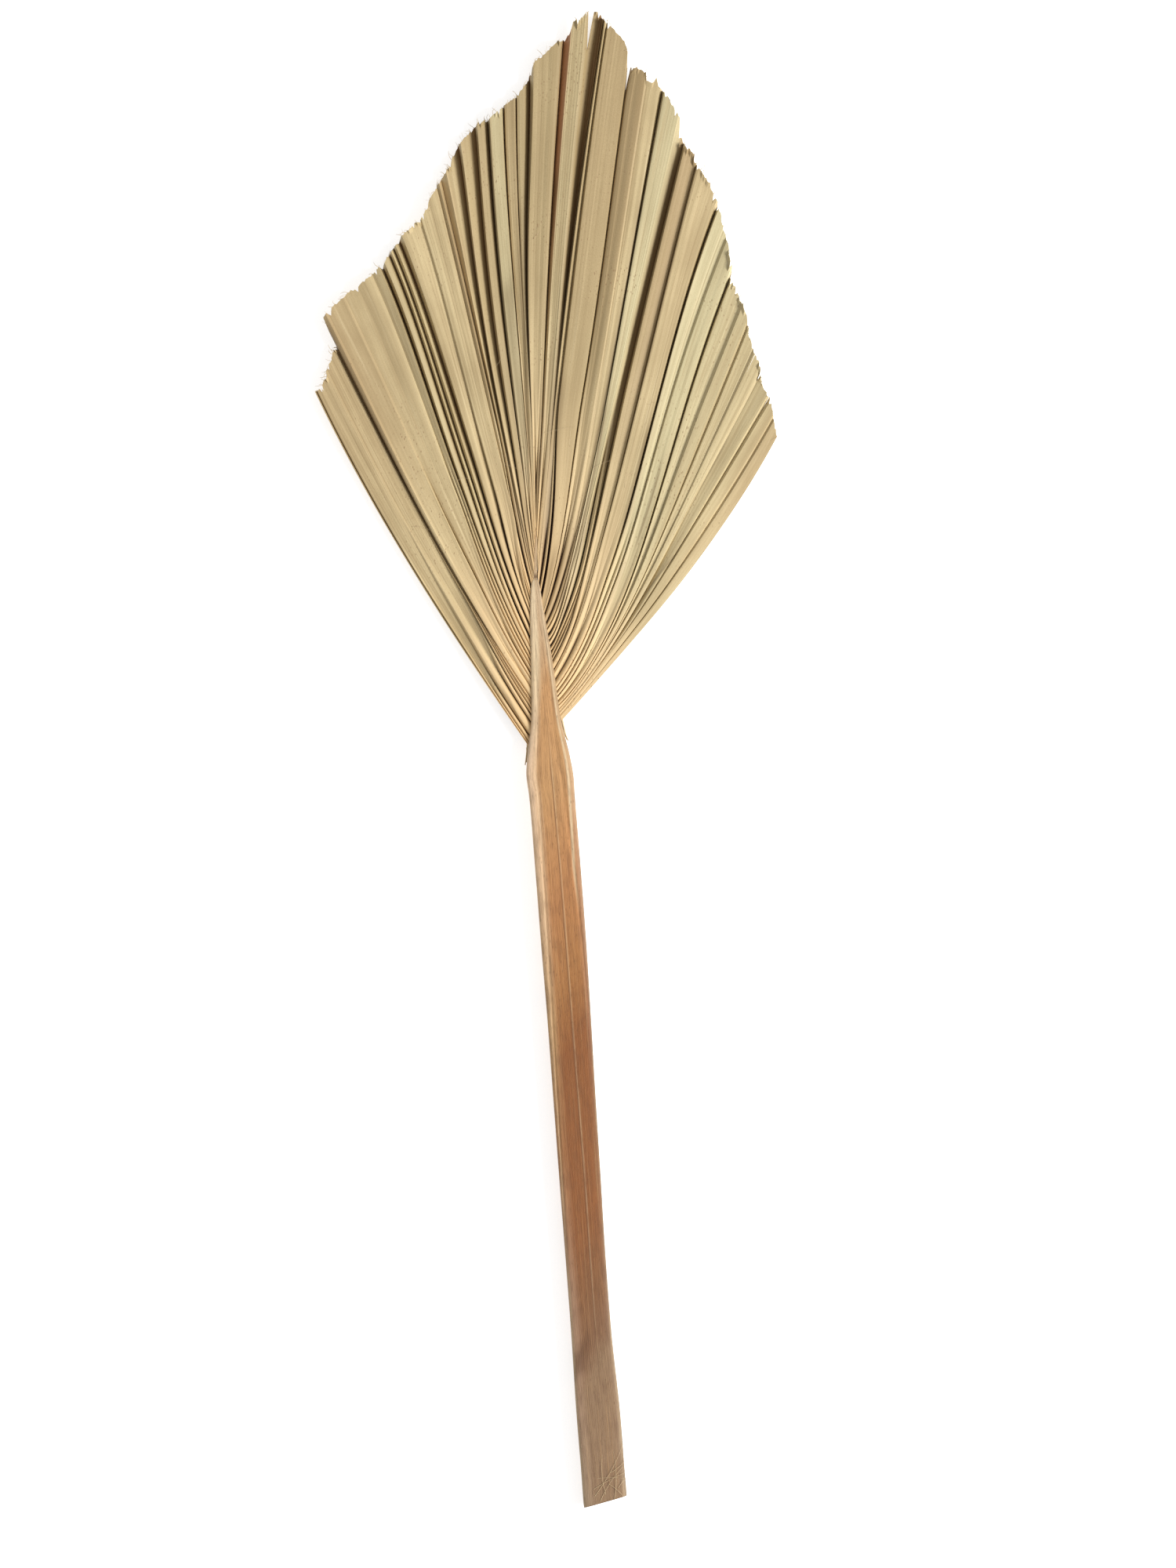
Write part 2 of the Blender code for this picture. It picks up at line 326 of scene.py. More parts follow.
# %% Columns across the fan
COLUMN_SPACING = 0.0046
COLUMNS_IN_FACE = (2, 14)
FACE_BULGE = (-0.03, 0.09)
FULLY_BULGED_WIDTH = 0.08
VEIN_RELIEF = 0.008
OPENS_FROM = 0.10
OPENS_AT = 0.60
CREASE_FADES_FROM = 0.4
PLEAT_ROUNDNESS = 2.1
chance = np.random.default_rng(11)


def fold_points():
    """Rows of place, open height, depth of the shut crease, and the stretch where it opens."""
    places, heights = np.array(FOLDS).T
    points = []
    for root, depth, end in CREASES:
        place = np.interp(root, TRACKS[:, 2], TRACKS[:, 0])
        points.append((place, np.interp(place, places, heights), depth, CREASE_FADES_FROM * end, end))
    for index, (place, height) in enumerate(FOLDS):
        beside = heights[max(0, index - 1):index + 2]
        is_valley = height == beside.min() and 0 < index < len(FOLDS) - 1
        points.append((place, height, 1.0 if is_valley else 0.0, OPENS_FROM, OPENS_AT))
    points.sort()

    spaced = [points[0]]
    for point in points[1:]:
        last = spaced[-1]
        if last[2] > 0 and point[2] > 0:
            middle = [(a + b) / 2 for a, b in zip(last, point)]
            spaced.append((middle[0], middle[1], 0.0, middle[3], middle[4]))
        spaced.append(point)
    return np.array(spaced)


def make_columns(points):
    """Split every face into columns with a shut and an open height; tears get two of their own."""
    columns = []
    for left, right in zip(points, points[1:]):
        gap = right[0] - left[0]
        parts = int(np.clip(np.ceil(gap / COLUMN_SPACING), *COLUMNS_IN_FACE))
        bulge = chance.uniform(*FACE_BULGE) * min(1.0, gap / FULLY_BULGED_WIDTH)
        deepest = max(left[2], right[2])
        for part in range(parts):
            share = part / parts
            column = left + (right - left) * share
            column[1] += 4 * bulge * share * (1 - share) + VEIN_RELIEF * chance.uniform(-1, 1)
            from_crease = share if left[2] > right[2] else 1 - share
            column[2] = 1 - deepest * (1 - from_crease) ** PLEAT_ROUNDNESS
            columns.append(column)
    columns.append(np.array([*points[-1][:2], 1.0, *points[-1][3:]]))
    columns = np.array(columns)
    twins = [[np.interp(place, columns[:, 0], values) for values in columns.T] for place in TEARS[:, 0]]
    both = np.concatenate([columns, twins, twins])
    return both[np.argsort(both[:, 0], kind="stable")]


columns = make_columns(fold_points())
print(len(columns), "columns across the fan")

# %% [markdown]
# ## The cut edge
#
# The fan was trimmed to a spear with a knife, and dried afterwards. The cut is a smooth line
# only from far away: each pleat was cut a little longer or shorter than its neighbour, single
# veins broke off in notches, and here and there the edge dried into a lip that turns up.
# `CUT_STEPS` says how much a fold is longer (or, below zero, shorter) than the smooth outline,
# and seeded random numbers add the fray, the notches and the lips.

# %% Cut steps and rows
# Place across the fan and extra length in mm.
CUT_STEPS = np.array([
    (-1, -1), (-0.965, -9), (-0.9, -15), (-0.86, -18), (-0.81, -23), (-0.8, -2), (-0.79, 0),
    (-0.785, -5), (-0.775, 0), (-0.65, 1), (-0.644, -2), (-0.62, 1), (-0.58, 0), (-0.5, -5),
    (-0.44, -2), (-0.3, 5), (-0.22, 0), (-0.15, -2), (-0.07, 0), (-0.02, -2), (0, 1), (0.004, 3),
    (0.03, 1), (0.098, 1), (0.104, -3), (0.128, -5), (0.132, 4), (0.2, 0), (0.22, 0), (0.235, 0),
    (0.243, -3), (0.26, 0), (0.3, 7), (0.315, 8), (0.319, -5), (0.34, 0), (0.366, 1), (0.37, 4),
    (0.375, -1), (0.395, 2), (0.4, 6), (0.405, 1), (0.43, 5), (0.475, 8), (0.482, -2), (0.5, -2),
    (0.54, 1), (0.542, -3), (0.6, 2), (0.605, -1), (0.7, 1), (0.736, 2), (0.742, -3), (0.8, 2),
    (0.83, 3), (0.836, -1), (0.9, 2), (0.91, -2), (0.95, 1), (1, 0),
])
CUT_FRAY = 0.75
PLEAT_FRAY = 1.1
PLEAT_COLUMNS = 9
NOTCH_SHARE = 0.07
NOTCH_DEPTH = (1.2, 4.5)
LIP_COUNT = 26
LIP_COLUMNS = (3, 8)
LIP_RISE = (0.8, 2.6)
LIP_PULL = (0.6, 2.2)
ROWS_INSIDE = 84
ROWS_AT_CUT = 7
INSIDE_ENDS = 0.982
CUT_STARTS = 0.985
ROWS_CROWD_AT_ROOT = 1.3
rows = np.concatenate([
    INSIDE_ENDS * np.linspace(0, 1, ROWS_INSIDE) ** ROWS_CROWD_AT_ROOT,
    np.linspace(CUT_STARTS, 1, ROWS_AT_CUT),
])


def ragged_cut(places):
    """For each column, its extra length at the cut and how far a lip lifts it there, in mm."""
    count = len(places)
    extra = np.interp(places, *CUT_STEPS.T) + CUT_FRAY * chance.uniform(-1, 1, count)
    pleats = count // PLEAT_COLUMNS + 1
    extra += PLEAT_FRAY * np.repeat(chance.uniform(-1, 1, pleats), PLEAT_COLUMNS)[:count]
    extra -= (chance.random(count) < NOTCH_SHARE) * chance.uniform(*NOTCH_DEPTH, count)
    lips = np.zeros(count)
    for start in chance.integers(0, count - LIP_COLUMNS[1], LIP_COUNT):
        end = start + chance.integers(*LIP_COLUMNS)
        lips[start:end] = chance.uniform(*LIP_RISE)
        extra[start:end] -= chance.uniform(*LIP_PULL)
    return extra, lips


print(len(rows), "rows along each fold")

# %% [markdown]
# ## Colour that belongs to a fold
#
# Sun and water reach the folds unevenly while the leaf dries, so one face stays greenish and
# the next turns tan. Some deep valleys also get painted shade along their whole length. Besides
# these tints, which keep to their fold from end to end, `SHADES` lists strokes of painted shade
# that cover only a stretch of one.
# Both are stored with the folds, so the material can read them whatever the shape becomes.

# %% Tints and strokes of shade
# Place at the cut edge, greenness, rust, painted shade along the valley, and dust.
TINTS = np.array([
    (-1, 0, 0.05, 0, 0.05), (-0.9, 0, 0.05, 0, 0.05), (-0.81, 0, 0.05, 0.1, 0.1),
    (-0.8, 0, 0.1, 0, 0.1), (-0.74, 0, 0.04, 0, 0.15), (-0.665, 0.15, 0, 0, 0),
    (-0.64, 0.3, 0, 0.05, 0), (-0.59, 0.3, 0, 0.05, 0), (-0.575, 0.05, 0, 0, 0),
    (-0.505, 0.05, 0, 0, 0), (-0.495, 0.15, 0, 0, 0), (-0.41, 0, 0, 0, 0), (-0.39, 0, 0.1, 0.05, 0),
    (-0.362, 0, 0.05, 0.05, 0.05), (-0.35, 0.1, 0, 0, 0.3), (-0.305, 0.1, 0, 0, 0.3),
    (-0.29, 0.1, 0, 0, 0.5), (-0.232, 0.15, 0, 0, 0.5), (-0.222, 0.15, 0, 0, 0.65),
    (-0.182, 0.2, 0, 0, 0.6), (-0.172, 0.65, 0, 0, 0), (-0.128, 0.65, 0, 0, 0),
    (-0.12, 0.1, 0.05, 0, 0.1), (-0.07, 0.1, 0.05, 0.05, 0.3), (-0.064, 0.4, 0, 0.05, 0.55),
    (-0.017, 0.2, 0, 0.1, 0.55), (0, 0, 0, 0, 0.55), (0.05, 0.05, 0, 0, 0.6), (0.095, 0.05, 0, 0, 0.75),
    (0.101, 0, 0.9, 0.2, 0), (0.127, 0, 0.9, 0.05, 0), (0.132, 0.2, 0, 0, 0.35),
    (0.186, 0.3, 0, 0, 0.35), (0.2, 0.2, 0, 0.1, 0.6), (0.24, 0.1, 0.05, 0.15, 0.6),
    (0.246, 0.1, 0, 0, 0.5), (0.258, 0, 0.05, 0, 0.55), (0.32, 0, 0.05, 0, 0.55),
    (0.33, 0, 0.08, 0, 0.8), (0.368, 0, 0.08, 0, 0.75), (0.376, 0, 0, 0, 0.05), (0.412, 0.1, 0, 0, 0),
    (0.424, 0.75, 0, 0, 0), (0.472, 0.75, 0, 0, 0), (0.49, 0.3, 0, 0.1, 0.4), (0.503, 0.1, 0, 0.1, 0.6),
    (0.51, 0, 0.08, 0, 0.7), (0.548, 0, 0.08, 0, 0.65), (0.556, 0.05, 0.03, 0, 0.1),
    (0.628, 0.1, 0.03, 0, 0), (0.64, 0.9, 0, 0, 0), (0.735, 0.8, 0, 0, 0), (0.75, 0.7, 0, 0, 0.1),
    (0.79, 0.6, 0, 0, 0), (0.83, 0.45, 0, 0, 0.05), (0.865, 0.4, 0, 0, 0.2), (0.875, 0.35, 0, 0, 0),
    (0.94, 0.3, 0, 0, 0), (0.955, 0.2, 0, 0, 0), (1, 0.1, 0.1, 0, 0),
])
# Strokes of painted shade where a face is folded under: place and share of the
# length at the start, the same at the end, half width and strength.
SHADES = [
    (-0.96, 0.03, -0.935, 0.1, 0.006, 0.5), (-0.95, 0.16, -0.915, 0.55, 0.005, 0.4),
    (-0.905, 0.02, -0.895, 0.15, 0.005, 0.5), (-0.84, 0.05, -0.82, 0.3, 0.008, 0.25),
    (-0.816, 0.2, -0.809, 0.62, 0.006, 0.6), (-0.809, 0.62, -0.805, 0.96, 0.01, 0.85),
    (-0.395, 0.1, -0.385, 0.45, 0.009, 0.35), (-0.395, 0.45, -0.388, 0.95, 0.005, 0.35),
    (-0.36, 0.3, -0.336, 0.6, 0.011, 0.4), (-0.34, 0.03, -0.345, 0.13, 0.02, 0.75),
    (-0.335, 0.62, -0.308, 0.98, 0.01, 0.45), (-0.28, 0.22, -0.262, 0.48, 0.018, 0.35),
    (-0.262, 0.48, -0.238, 0.95, 0.011, 0.5), (-0.225, 0.03, -0.215, 0.1, 0.022, 0.75),
    (-0.2, 0.1, -0.195, 0.45, 0.012, 0.35), (-0.192, 0.45, -0.186, 0.98, 0.008, 0.5),
    (-0.15, 0.18, -0.15, 0.58, 0.034, 0.45), (-0.12, 0.75, -0.121, 0.98, 0.005, 0.5),
    (-0.112, 0.22, -0.102, 0.34, 0.01, 0.6), (-0.085, 0.38, -0.068, 0.72, 0.009, 0.6),
    (-0.055, 0.45, -0.03, 0.75, 0.01, 0.65), (-0.028, 0.75, -0.02, 0.98, 0.01, 0.5),
    (-0.005, 0.05, 0.06, 0.04, 0.02, 0.45), (0.075, 0.04, 0.08, 0.14, 0.022, 0.6),
    (0.09, 0.08, 0.1, 0.5, 0.01, 0.35), (0.108, 0.63, 0.115, 0.69, 0.01, 0.7),
    (0.12, 0.15, 0.15, 0.35, 0.024, 0.32), (0.18, 0.12, 0.2, 0.35, 0.02, 0.35),
    (0.208, 0.25, 0.218, 0.6, 0.022, 0.75), (0.218, 0.6, 0.221, 0.76, 0.019, 0.75),
    (0.221, 0.76, 0.226, 0.9, 0.013, 0.35), (0.23, 0.06, 0.245, 0.33, 0.03, 0.5),
    (0.255, 0.03, 0.252, 0.15, 0.01, 0.4), (0.262, 0.2, 0.3, 0.09, 0.006, 0.45),
    (0.345, 0.08, 0.36, 0.02, 0.014, 0.55), (0.37, 0.02, 0.375, 0.3, 0.008, 0.35),
    (0.398, 0.02, 0.405, 0.2, 0.01, 0.5), (0.405, 0.24, 0.411, 0.75, 0.004, 0.55),
    (0.42, 0.1, 0.428, 0.24, 0.017, 0.7), (0.45, 0.16, 0.46, 0.34, 0.028, 0.3),
    (0.455, 0.1, 0.465, 0.22, 0.013, 0.75), (0.47, 0.2, 0.43, 0.4, 0.012, 0.75),
    (0.48, 0.25, 0.455, 0.33, 0.012, 0.45), (0.49, 0.1, 0.495, 0.35, 0.006, 0.6),
    (0.49, 0.62, 0.49, 0.93, 0.016, 0.7), (0.497, 0.4, 0.495, 0.65, 0.009, 0.55),
    (0.51, 0.03, 0.54, 0.09, 0.008, 0.5), (0.6, 0.15, 0.6, 0.28, 0.01, 0.2),
    (0.614, 0.36, 0.612, 0.5, 0.009, 0.8), (0.618, 0.5, 0.632, 0.78, 0.005, 0.55),
    (0.665, 0.12, 0.675, 0.28, 0.008, 0.3), (0.699, 0.4, 0.702, 0.5, 0.006, 0.7),
    (0.715, 0.22, 0.708, 0.36, 0.006, 0.25), (0.735, 0.6, 0.742, 0.97, 0.004, 0.45),
    (0.76, 0.35, 0.79, 0.7, 0.01, 0.2), (0.8, 0.03, 0.87, 0.12, 0.01, 0.45),
    (0.815, 0.55, 0.826, 0.97, 0.007, 0.3), (0.84, 0.2, 0.88, 0.16, 0.01, 0.3),
    (0.89, 0.58, 0.905, 0.78, 0.004, 0.4), (0.905, 0.35, 0.945, 0.52, 0.005, 0.55),
]
print(len(TINTS), "tints and", len(SHADES), "strokes of shade")

# %% [markdown]
# ## Numbers that ride on a mesh
#
# Geometry Nodes and materials can both read numbers that a mesh carries, one for each vertex.
# That is how a fold's ends, heights and tints reach the node tree and the finish. The helpers
# below store them as named attributes, and a UV map too, straight from numpy arrays, which is
# much quicker than a loop over vertices.

# %% Storing numbers
def ease(value):
    """A smooth step from 0 to 1."""
    value = np.clip(value, 0, 1)
    return value * value * (3 - 2 * value)


def store(mesh, name, values):
    """Put numbers or vectors on a mesh's vertices, as a named attribute."""
    vector = values.ndim == 2
    attribute = mesh.attributes.new(name, "FLOAT_VECTOR" if vector else "FLOAT", "POINT")
    attribute.data.foreach_set("vector" if vector else "value", values.astype(np.float32).ravel())


def stored_values(mesh, name):
    """Read a stored number back from every vertex."""
    values = np.zeros(len(mesh.vertices), np.float32)
    mesh.attributes[name].data.foreach_get("value", values)
    return values


def store_uv(mesh, pairs):
    """Give a mesh a UV map from one pair of numbers for each vertex."""
    layer = mesh.uv_layers.new(name="UVMap")
    corners = np.zeros(len(mesh.loops), np.int32)
    mesh.loops.foreach_get("vertex_index", corners)
    layer.data.foreach_set("uv", pairs[corners].astype(np.float32).ravel())


print("a smooth step passes", ease(0.25), "at a quarter of its way")

# %% [markdown]
# ## Tracks, strokes and tears on the sheet
#
# Three functions turn the tables into numbers for the vertices. `place_along` follows a fold on
# its track: close to the stalk it keeps its place there, further out its place in the middle,
# and near the cut its place at the edge. `shade_at` paints the strokes, soft on both sides.
# `tear_shifts` finds the columns beside each tear and says how far they move apart.

# %% Reading the tables
EDGE_TRACK_FROM = 0.42
EDGE_TRACK_LENGTH = 0.55
STROKE_FADE = 0.04
TEAR_COLUMNS = 8


def place_along(place, along):
    """Where a fold is among the guide folds, at this share of its length."""
    middle, root, bend = [np.interp(place, TRACKS[:, 0], column) for column in TRACKS.T[1:]]
    near_root = 1 - ease(along / bend)
    near_cut = ease((along - EDGE_TRACK_FROM) / EDGE_TRACK_LENGTH)
    swing = np.interp(place, *SWINGS.T) * along / SWINGS_MOST_AT * np.exp(1 - along / SWINGS_MOST_AT)
    return near_root * root + near_cut * place + (1 - near_root - near_cut) * middle + swing


def shade_at(place, along):
    """How much shade the strokes of SHADES lay on each vertex."""
    total = np.zeros(len(place))
    for place_from, along_from, place_to, along_to, width, strength in SHADES:
        way = np.array([place_to - place_from, along_to - along_from])
        share = ((place - place_from) * way[0] + (along - along_from) * way[1]) / (way @ way)
        beyond = np.clip(share, 0, 1)
        sideways = (place - place_from - beyond * way[0]) / width
        lengthwise = (along - along_from - beyond * way[1]) / STROKE_FADE
        total = np.maximum(total, strength * np.exp(-sideways**2 - lengthwise**2))
    return total


def tear_shifts(places):
    """For each column, the tear it belongs to and its sideways move at the cut edge."""
    splits = np.searchsorted(places, TEARS[:, 0]) + 1
    owner = np.abs(places[:, None] - TEARS[None, :, 0]).argmin(1)
    moves = np.zeros(len(places))
    fading = 1 - np.arange(TEAR_COLUMNS) / TEAR_COLUMNS
    for split, left_move, right_move in zip(splits, TEARS[:, 2], TEARS[:, 3]):
        moves[split - TEAR_COLUMNS:split] = left_move * fading[::-1]
        moves[split:split + TEAR_COLUMNS] = right_move * fading
    return splits, TEARS[owner, 1], moves


fold_ends = place_along(np.array([-0.5, 0.5]), np.array([0.0, 0.0]))
print("folds at -0.5 and 0.5 of the edge start at", fold_ends.round(2), "on the stalk")

# %% [markdown]
# ## The flat pattern
#
# Geometry Nodes will pleat the blade, but they need a sheet to start from. This step makes
# that sheet as a plain grid, one vertex for each column and row, and stores on every vertex
# what its fold needs to know: root and cut end, the way it leaves and arrives, its heights, its
# tints, and how far a tear or a lip moves it. Faces over a tear are left out.

# %% Sheet with fold attributes
FOLD_STIFFNESS = 0.95
LIP_STARTS = 0.988
LIP_LENGTH = 0.012
TEAR_SPREADS_UP_TO = 1.2


def heading(degrees, size):
    """Vectors in plan, turned clockwise from the leaf's length."""
    turned = np.radians(degrees)
    return np.stack([size * np.sin(turned), size * np.cos(turned), 0 * turned], 1)


def sheet_faces(columns, rows, splits):
    """Corners of the grid's faces, without the ones that a tear parts."""
    faces = []
    for column in sorted(set(range(columns - 1)) - set(splits - 1)):
        for corner in range(column * rows, column * rows + rows - 1):
            faces.append((corner, corner + rows, corner + rows + 1, corner + 1))
    return faces


def make_sheet(columns, rows):
    """A grid whose vertices carry their fold's data."""
    places = columns[:, 0]
    count = len(rows)
    extra, lips = ragged_cut(places)
    place = np.repeat(places, count)
    share = np.tile(rows, len(places))
    track = place_along(place, share)
    guides = np.interp(track, GUIDE_FOLDS[:, 0], np.arange(len(GUIDE_FOLDS)))
    root_x, root_y, cut_x, cut_y, lean_out, lean_in = [
        np.interp(guides, np.arange(len(GUIDE_FOLDS)), column) for column in GUIDE_FOLDS.T[1:]]
    chord = np.hypot(cut_x - root_x, cut_y - root_y)
    along = share * (1 + np.repeat(extra, count) / chord)

    splits, start, moves = tear_shifts(places)
    start = np.repeat(start, count)
    drift = np.repeat(moves, count) * np.clip((along - start) / (1 - start), 0, TEAR_SPREADS_UP_TO)

    mesh = bpy.data.meshes.new("blade_pattern")
    flat = np.stack([place, along, 0 * along], 1)
    mesh.from_pydata(flat.tolist(), [], sheet_faces(len(places), count, splits))
    store_uv(mesh, np.stack([place * 0.5 + 0.5, along], 1))
    store(mesh, "root", np.stack([root_x, root_y, 0 * root_x], 1) * MM)
    store(mesh, "cut", np.stack([cut_x, cut_y, 0 * root_x], 1) * MM)
    store(mesh, "leaving", heading(lean_out, FOLD_STIFFNESS * chord * MM))
    store(mesh, "arriving", heading(lean_in, FOLD_STIFFNESS * chord * MM))
    store(mesh, "along", along)
    store(mesh, "place", place)
    store(mesh, "drift", drift * MM)
    store(mesh, "at_cut", (share == 1).astype(float))
    store(mesh, "lip", np.repeat(lips, count) * MM * ease((share - LIP_STARTS) / LIP_LENGTH))
    store(mesh, "shade", shade_at(track, share))
    for name, column in zip(("open_height", "shut_height", "opens_from", "opens_at"), columns.T[1:]):
        store(mesh, name, np.repeat(column, count))
    for name, column in zip(("green", "rust", "painted_valley_shade", "dust"), TINTS.T[1:]):
        store(mesh, name, np.interp(place, TINTS[:, 0], column))
    return mesh


blade_pattern = make_sheet(columns, rows)
print("pattern sheet:", len(blade_pattern.vertices), "vertices,", len(blade_pattern.polygons), "faces")

# %% [markdown]
# ## Trees that run once
#
# Both Geometry Nodes trees of this leaf begin with a geometry socket and their named sizes, and
# end with real geometry that has its material. `run_tree` runs one on a mesh and keeps what
# comes out as a plain mesh, so that every piece in the scene is an ordinary one.

# %% Start, end and run of a tree
def stored(board, name, kind="FLOAT"):
    """A wire that carries a named attribute."""
    node = board.add("GeometryNodeInputNamedAttribute", {"data_type": kind}, {"Name": name})
    return node["Attribute"]


def add_inputs(tree, sizes):
    tree.interface.new_socket("Geometry", in_out="INPUT", socket_type="NodeSocketGeometry")
    for name, value in sizes.items():
        socket = tree.interface.new_socket(name, in_out="INPUT", socket_type="NodeSocketFloat")
        socket.default_value = value
    tree.interface.new_socket("Geometry", in_out="OUTPUT", socket_type="NodeSocketGeometry")


def finish_tree(board, geometry, material):
    """End a tree with real geometry that has its material."""
    real = board.add("GeometryNodeRealizeInstances", inputs={"Geometry": geometry})
    dressed = board.add("GeometryNodeSetMaterial", inputs={"Geometry": real[0], "Material": material})
    board.add("NodeGroupOutput", inputs={"Geometry": dressed[0]})


def add_piece(name, mesh):
    """Put a mesh in the scene under its own name."""
    mesh.name = name
    piece = bpy.data.objects.new(name, mesh)
    bpy.context.scene.collection.objects.link(piece)
    return piece


def run_tree(name, mesh, tree, sizes):
    """Run a tree on a mesh once, and keep the result as a plain mesh object."""
    holder = bpy.data.objects.new(name, mesh)
    bpy.context.scene.collection.objects.link(holder)
    modifier = holder.modifiers.new("nodes", "NODES")
    modifier.node_group = tree
    for item in tree.interface.items_tree:
        if item.in_out == "INPUT" and item.name in sizes:
            modifier[item.identifier] = sizes[item.name]
    holder.update_tag()
    shapes = bpy.context.evaluated_depsgraph_get()
    result = bpy.data.meshes.new_from_object(holder.evaluated_get(shapes))
    bpy.data.objects.remove(holder)
    return add_piece(name, result)


print("trees can be run")

# %% [markdown]
# ## Pleating the sheet with Geometry Nodes
#
# The blade's shape follows a rule, so a node tree makes it. In plan every fold is one cubic
# curve from root to cut. In height it is a mix of the shut and the open fan, set on a base that
# sinks from the middle of the stalk to the surface the leaf lies on. The sizes are the tree's
# named inputs, so the leaf can be opened, shut or flattened by changing one number. The tree
# also stores how hollow each spot is, for the shade painted into the creases.

# %% Blade tree
BLADE_SIZES = {
    "Shut depth": 4.6 * MM,
    "Open depth": 9.4 * MM,
    "Root height": 6.0 * MM,
    "Floor clearance": 0.35 * MM,
    "Settles at": 0.42,
    "Edge lift": 2.0 * MM,
    "Margin lift": 2.6 * MM,
    "Waver": 1.3 * MM,
    "Weld distance": 0.01 * MM,
}
# Between these shares of a fold's length the pleats get deeper, and the unevenness of the
# sheet is this fine across the fan and along it.
DEEPENS_BETWEEN = (0.04, 0.60)
WAVERS = (9, 3)


def blade_tree(material):
    """The tree that draws the folds of the sheet and pleats it."""
    tree = bpy.data.node_groups.new("pleated_blade", "GeometryNodeTree")
    board = Board(tree)
    add_inputs(tree, BLADE_SIZES)
    size = board.add("NodeGroupInput")

    # The cubic from root to cut
    along, place = [stored(board, name) for name in ("along", "place")]
    root, cut, leaving, arriving = [
        stored(board, name, "FLOAT_VECTOR") for name in ("root", "cut", "leaving", "arriving")]
    square = along * along
    cube = square * along
    near_root = 2 * cube - 3 * square + 1
    plan = root * near_root + cut * (1 - near_root)
    plan = plan + leaving * (cube - 2 * square + along) + arriving * (cube - square)
    plan = plan + board.vector(x=stored(board, "drift"))

    # Heights over the surface
    opening = board.rise(along, stored(board, "opens_from"), stored(board, "opens_at"))
    deepening = board.rise(along, *DEEPENS_BETWEEN)
    depth = size["Shut depth"] + (size["Open depth"] - size["Shut depth"]) * deepening
    profile = stored(board, "shut_height") * (1 - opening) + stored(board, "open_height") * opening
    settled = board.rise(along, 0.0, size["Settles at"])
    base = size["Floor clearance"] + (size["Root height"] - size["Floor clearance"]) * (1 - settled)
    lift = size["Edge lift"] * cube * cube + size["Margin lift"] * square * place**6
    across_waves, along_waves = WAVERS
    where = board.vector(place * across_waves, along * along_waves)
    noise = board.add(
        "ShaderNodeTexNoise", {"noise_dimensions": "2D"}, {"Vector": where, "Scale": 1.0, "Detail": 2.0})
    wavering = size["Waver"] * noise["Fac"] * settled
    height = base + lift + depth * profile + wavering + stored(board, "lip")

    position = plan + board.vector(z=height)
    moved = board.add(
        "GeometryNodeSetPosition", inputs={"Geometry": size["Geometry"], "Position": position})
    hollow = board.add(
        "GeometryNodeStoreNamedAttribute", {"data_type": "FLOAT", "domain": "POINT"},
        {"Geometry": moved[0], "Name": "hollow", "Value": 1 - profile})
    welded = board.add(
        "GeometryNodeMergeByDistance", inputs={"Geometry": hollow[0], "Distance": size["Weld distance"]})
    finish_tree(board, welded[0], material)
    return tree


print("blade tree has", len(BLADE_SIZES), "named sizes")

# %% [markdown]
# ## Layers of colour
#
# Every finish below is built like a glaze: a ground colour, then thin layers over it, each with
# a mask that says how much of it shows. `blend` lays one layer and `glaze` a list of them, the
# first one lowest. The masks come from noise that is stretched along the fibres, from spots,
# from stored tints, and from where a point lies.

# %% Helpers for finishes
def new_finish(name):
    """A material and the board of its node tree."""
    material = bpy.data.materials.new(name)
    material.use_nodes = True
    return material, Board(material.node_tree)


def finish_surface(board, colour, roughness, height, bump_distance, specular):
    """Wire colour, roughness and relief to the shader."""
    relief = {"Height": height, "Distance": bump_distance, "Strength": 1.0}
    bump = board.add("ShaderNodeBump", inputs=relief)
    shader = board.add("ShaderNodeBsdfPrincipled", inputs={
        "Base Color": colour, "Roughness": roughness, "Normal": bump["Normal"],
        "Specular IOR Level": specular})
    board.add("ShaderNodeOutputMaterial", inputs={"Surface": shader["BSDF"]})


def blend(board, share, first, second):
    """Mix two colours."""
    first, second = [(*c, 1.0) if isinstance(c, tuple) and len(c) == 3 else c for c in (first, second)]
    node = board.add("ShaderNodeMix", {"data_type": "RGBA"}, {"Factor": share, "A": first, "B": second})
    return Wire(board, node.node.outputs[2])


def glaze(board, colour, layers):
    """Lay masked colours over a colour, one after another."""
    for mask, layer in layers:
        colour = blend(board, mask, colour, layer)
    return colour


def noise_on(board, vector, detail=3.0, roughness=0.55):
    """Noise whose scale is already in the vector."""
    inputs = {"Vector": vector, "Scale": 1.0, "Detail": detail, "Roughness": roughness}
    return board.add("ShaderNodeTexNoise", inputs=inputs)["Fac"]


def uv_parts(board):
    """The two numbers of the UV map, across and along."""
    uv = board.add("ShaderNodeUVMap", {"uv_map": "UVMap"})[0]
    parts = board.add("ShaderNodeSeparateXYZ", inputs={"Vector": uv})
    return parts["X"], parts["Y"]


def streaks(board, across, along, shift, detail, roughness):
    """Noise in streaks: fine across, long along, and different for every shift."""
    return noise_on(board, board.vector(across, along, shift), detail, roughness)


def tint(board, name):
    """A number that the mesh carries."""
    return board.add("ShaderNodeAttribute", {"attribute_name": name})["Fac"]


def freckles(board, here, stretch, size, gathering):
    """A mask of small spots, which show where the mask called gathering is high."""
    cells = board.add("ShaderNodeTexVoronoi", inputs={"Vector": here * stretch, "Scale": 1.0})["Distance"]
    return board.fall(cells, *size) * gathering


print("finish helpers ready")
